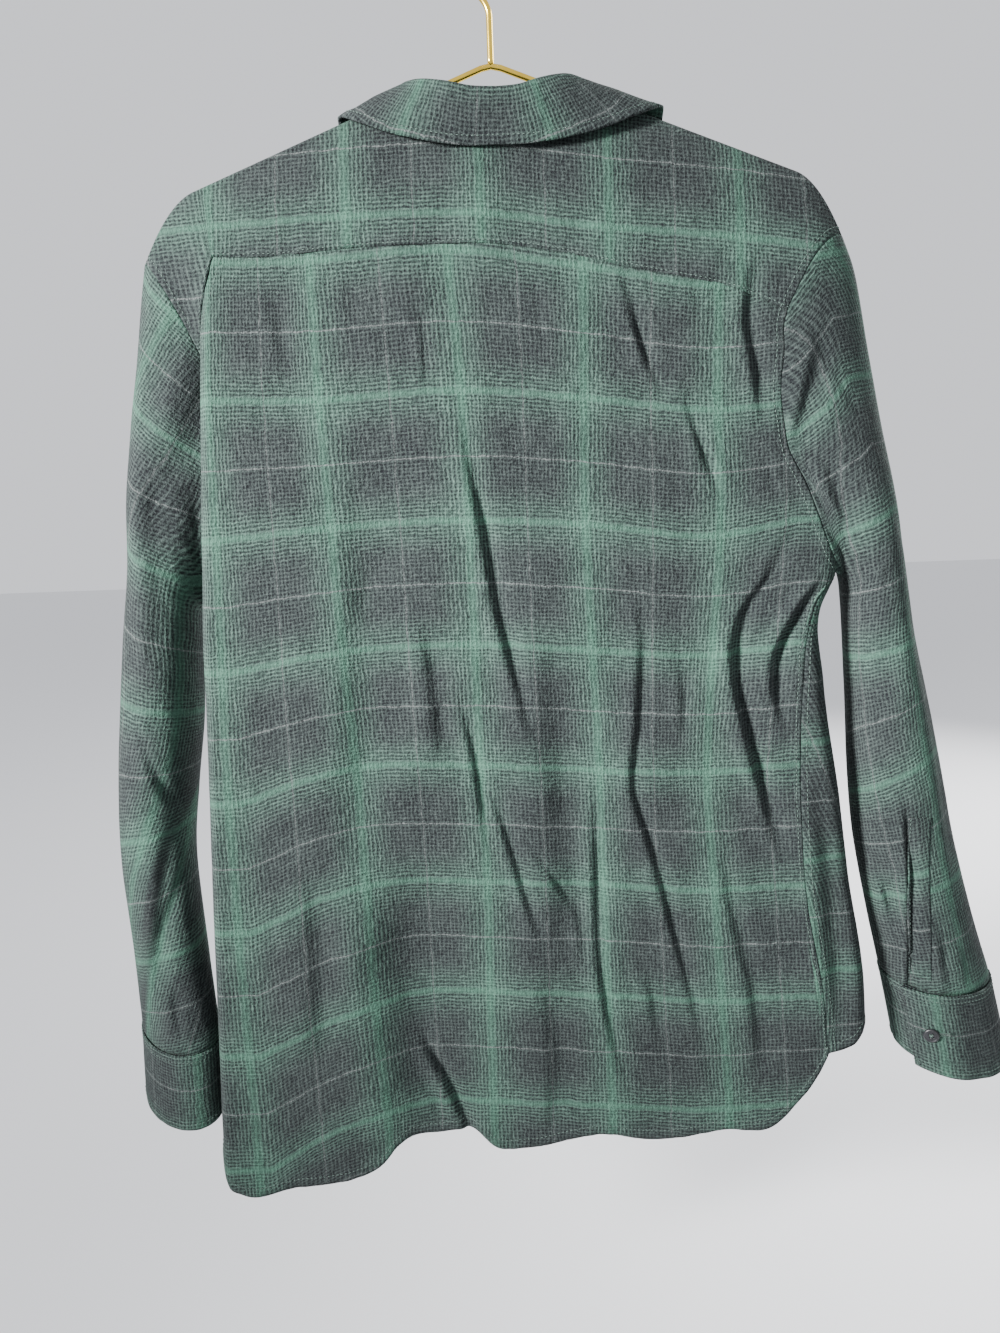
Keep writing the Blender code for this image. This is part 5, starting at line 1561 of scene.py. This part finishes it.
def makeButtons():
    # each button with its thread, and a buttonhole that starts at its middle: crosswise on cuffs and collar,
    # downward on the front
    runs, holes = [], []
    for node, place, facing, upright in buttonPlaces():
        words = node.split("_")
        name = words[0] + "".join(word.capitalize() for word in words[1:])
        addPiece(name, buttonMesh(name, place, facing, upright), buttonMaterial, [node])
        runs += threadRuns(place, facing, upright)
        if "front" in node:
            along, way = upright, 1
        else:
            along, way = unit(np.cross(facing, upright)), -1
        onCloth = place - facing * (button["thick"] / 2 + hole["behind"])
        holes += holeRuns(onCloth - along * (hole["half"] - hole["beyond"]) * way, facing, along)
    for name, made, form in (("buttonThread", runs, buttonThread), ("buttonholes", holes, hole)):
        addPiece(name, tubeMesh(made, form["radius"], form["sides"], name), threadMaterial)


makeButtons()
print("buttons sewn on")

hanger = {
    # radius of the wire; the arms' joint and slope, how far out they end, with how much of that for the
    # round end, and how far down the bar is
    "wire": 2.0, "sides": 18, "junction": shoulders["junction"], "slope": shoulders["slope"],
    "bend": 206.0, "bendBack": 9, "bar": 178.0,
    # the joint's rounded top: how wide, how far below the arms' own meeting, and how much it curves
    "peakHalf": 6, "peakBelow": 1.2, "peakCurve": 0.02,
    # points on an arm, round an end and on half the bar, and how near they come to their ends
    "armSteps": 30, "endSteps": 28, "barSteps": 24, "nearEnd": 0.96, "barStart": 0.02,
    # the hook's circle, degrees from and to, its top, and how far down the stem goes
    "hookRadius": 22.0, "hookFrom": 215.0, "hookTo": -38.0, "hookSteps": 70, "stemBelow": 1.1,
    # heights of the stem's straight part, and of the bend into the circle with its reach along it
    "stem": (4, 72.4, 65), "bendFrom": 58.0, "bendMiddle": 47.0, "bendReach": 12, "bendSteps": 26,
}


def arcPoints(centre, radius, start, stop, count):
    # part of a circle, by degrees, in the plane across and down
    a = np.radians(np.linspace(start, stop, count))
    return [(centre[0] + radius * math.cos(t), 0.0, centre[1] - radius * math.sin(t)) for t in a]


def wireLoop():
    # a closed loop of wire: two straight arms, whose joint is rounded by a parabola, round ends and a bar
    form = hanger
    lean = math.atan(form["slope"])
    bendX = form["bend"] - form["bendBack"]
    armLow = form["junction"] + form["slope"] * bendX
    turnFrom, turnTo = 90 - math.degrees(lean), -90
    radius = (form["bar"] - armLow) / (math.sin(math.radians(turnFrom)) + 1)
    centre = (bendX - radius * math.cos(math.radians(turnFrom)),
              armLow + radius * math.sin(math.radians(turnFrom)))
    half = [(t * bendX, 0.0, form["junction"] + form["slope"] * t * bendX)
            for t in np.linspace(0, form["nearEnd"], form["armSteps"])]
    half += arcPoints(centre, radius, turnFrom, turnTo, form["endSteps"])
    half += [(centre[0] * t, 0.0, form["bar"])
             for t in np.linspace(form["nearEnd"], form["barStart"], form["barSteps"])]
    half = np.array(half)
    loop = np.concatenate([half, (half * np.array([-1, 1, 1]))[:0:-1]])
    peak = form["junction"] + form["peakBelow"] - form["peakCurve"] * loop[:, 0] ** 2
    near = np.abs(loop[:, 0]) < form["peakHalf"]
    loop[:, 2] = np.where(near, np.maximum(loop[:, 2], peak), loop[:, 2])
    return loop


def hookRoute():
    # an upright stem, soldered into the arms' joint, that bends into part of a circle by a cubic curve
    form = hanger
    r, start = form["hookRadius"], math.radians(form["hookFrom"])
    low, middle = form["junction"] + form["stemBelow"], form["hookRadius"] - form["wire"]
    arcStart = np.array([r * math.cos(start), middle - r * math.sin(start)])
    heading = np.array([math.sin(start), math.cos(start)])
    p0, p1 = np.array([0.0, form["bendFrom"]]), np.array([0.0, form["bendMiddle"]])
    p2 = arcStart - heading * form["bendReach"]
    t = np.linspace(0, 1, form["bendSteps"])[:, None]
    bend = (1 - t) ** 3 * p0 + 3 * (1 - t) ** 2 * t * p1 + 3 * (1 - t) * t ** 2 * p2 + t ** 3 * arcStart
    arc = arcPoints((0, middle), r, form["hookFrom"], form["hookTo"], form["hookSteps"])
    short, high, higher = form["stem"]
    stem = [(0, low), (0, low - short), (0, high), (0, higher)]
    flat = np.concatenate([stem, bend, np.array(arc)[1:, [0, 2]]])
    return np.column_stack([flat[:, 0], 0 * flat[:, 0], flat[:, 1]])


def makeHanger():
    # the wire's loop, and the hook that is joined to it
    for name, node, route, closed in (("hangerWire", "hanger_frame", wireLoop(), True),
                                      ("hangerHook", "hanger_hook", hookRoute(), False)):
        mesh = tubeMesh([route], hanger["wire"], hanger["sides"], name, closed)
        addPiece(name, mesh, goldMaterial, [node])


makeHanger()
print("hanger bent")

# place, where it points, size in metres, watts and spread in degrees
lights = {
    "window": ((-1.75, -1.2, 0.15), (0.09, 0, -0.42), 0.4, 17, 38),
    "behind": ((1.6, 1.5, 0.4), (0, 0, -0.45), 1.6, 80, 160),
}
room = {"floorHalf": 8, "floorHeight": -1.1, "floor": (0.78, 0.785, 0.80), "sky": (0.58, 0.59, 0.62),
        "bright": 1.65}


def makeLight(name, place, target, size, power, spread):
    # a square area light that points from its place to a target
    data = bpy.data.lights.new(name, "AREA")
    data.shape, data.size, data.energy = "SQUARE", size, power
    data.spread = math.radians(spread)
    obj = bpy.data.objects.new(name, data)
    obj.location = place
    obj.rotation_euler = (Vector(target) - Vector(place)).to_track_quat("-Z", "Y").to_euler()
    bpy.context.scene.collection.objects.link(obj)


def makeRoom():
    # a plain floor, an even sky and the lights
    half, high = room["floorHalf"], room["floorHeight"]
    corners = [(-half, -half, high), (half, -half, high), (half, half, high), (-half, half, high)]
    floor = bpy.data.meshes.new("floor")
    floor.from_pydata(corners, [], [(0, 1, 2, 3)])
    floor.materials.append(Shop("floor").finish({"Base Color": (*room["floor"], 1.0), "Roughness": 0.9}))
    obj = bpy.data.objects.new("floor", floor)
    bpy.context.scene.collection.objects.link(obj)
    world = bpy.data.worlds.new("world")
    bpy.context.scene.world = world
    world.use_nodes = True
    sky = world.node_tree.nodes["Background"]
    sky.inputs["Color"].default_value = (*room["sky"], 1.0)
    sky.inputs["Strength"].default_value = room["bright"]
    for name, light in lights.items():
        makeLight(name, *light)


makeRoom()
print("room lit")
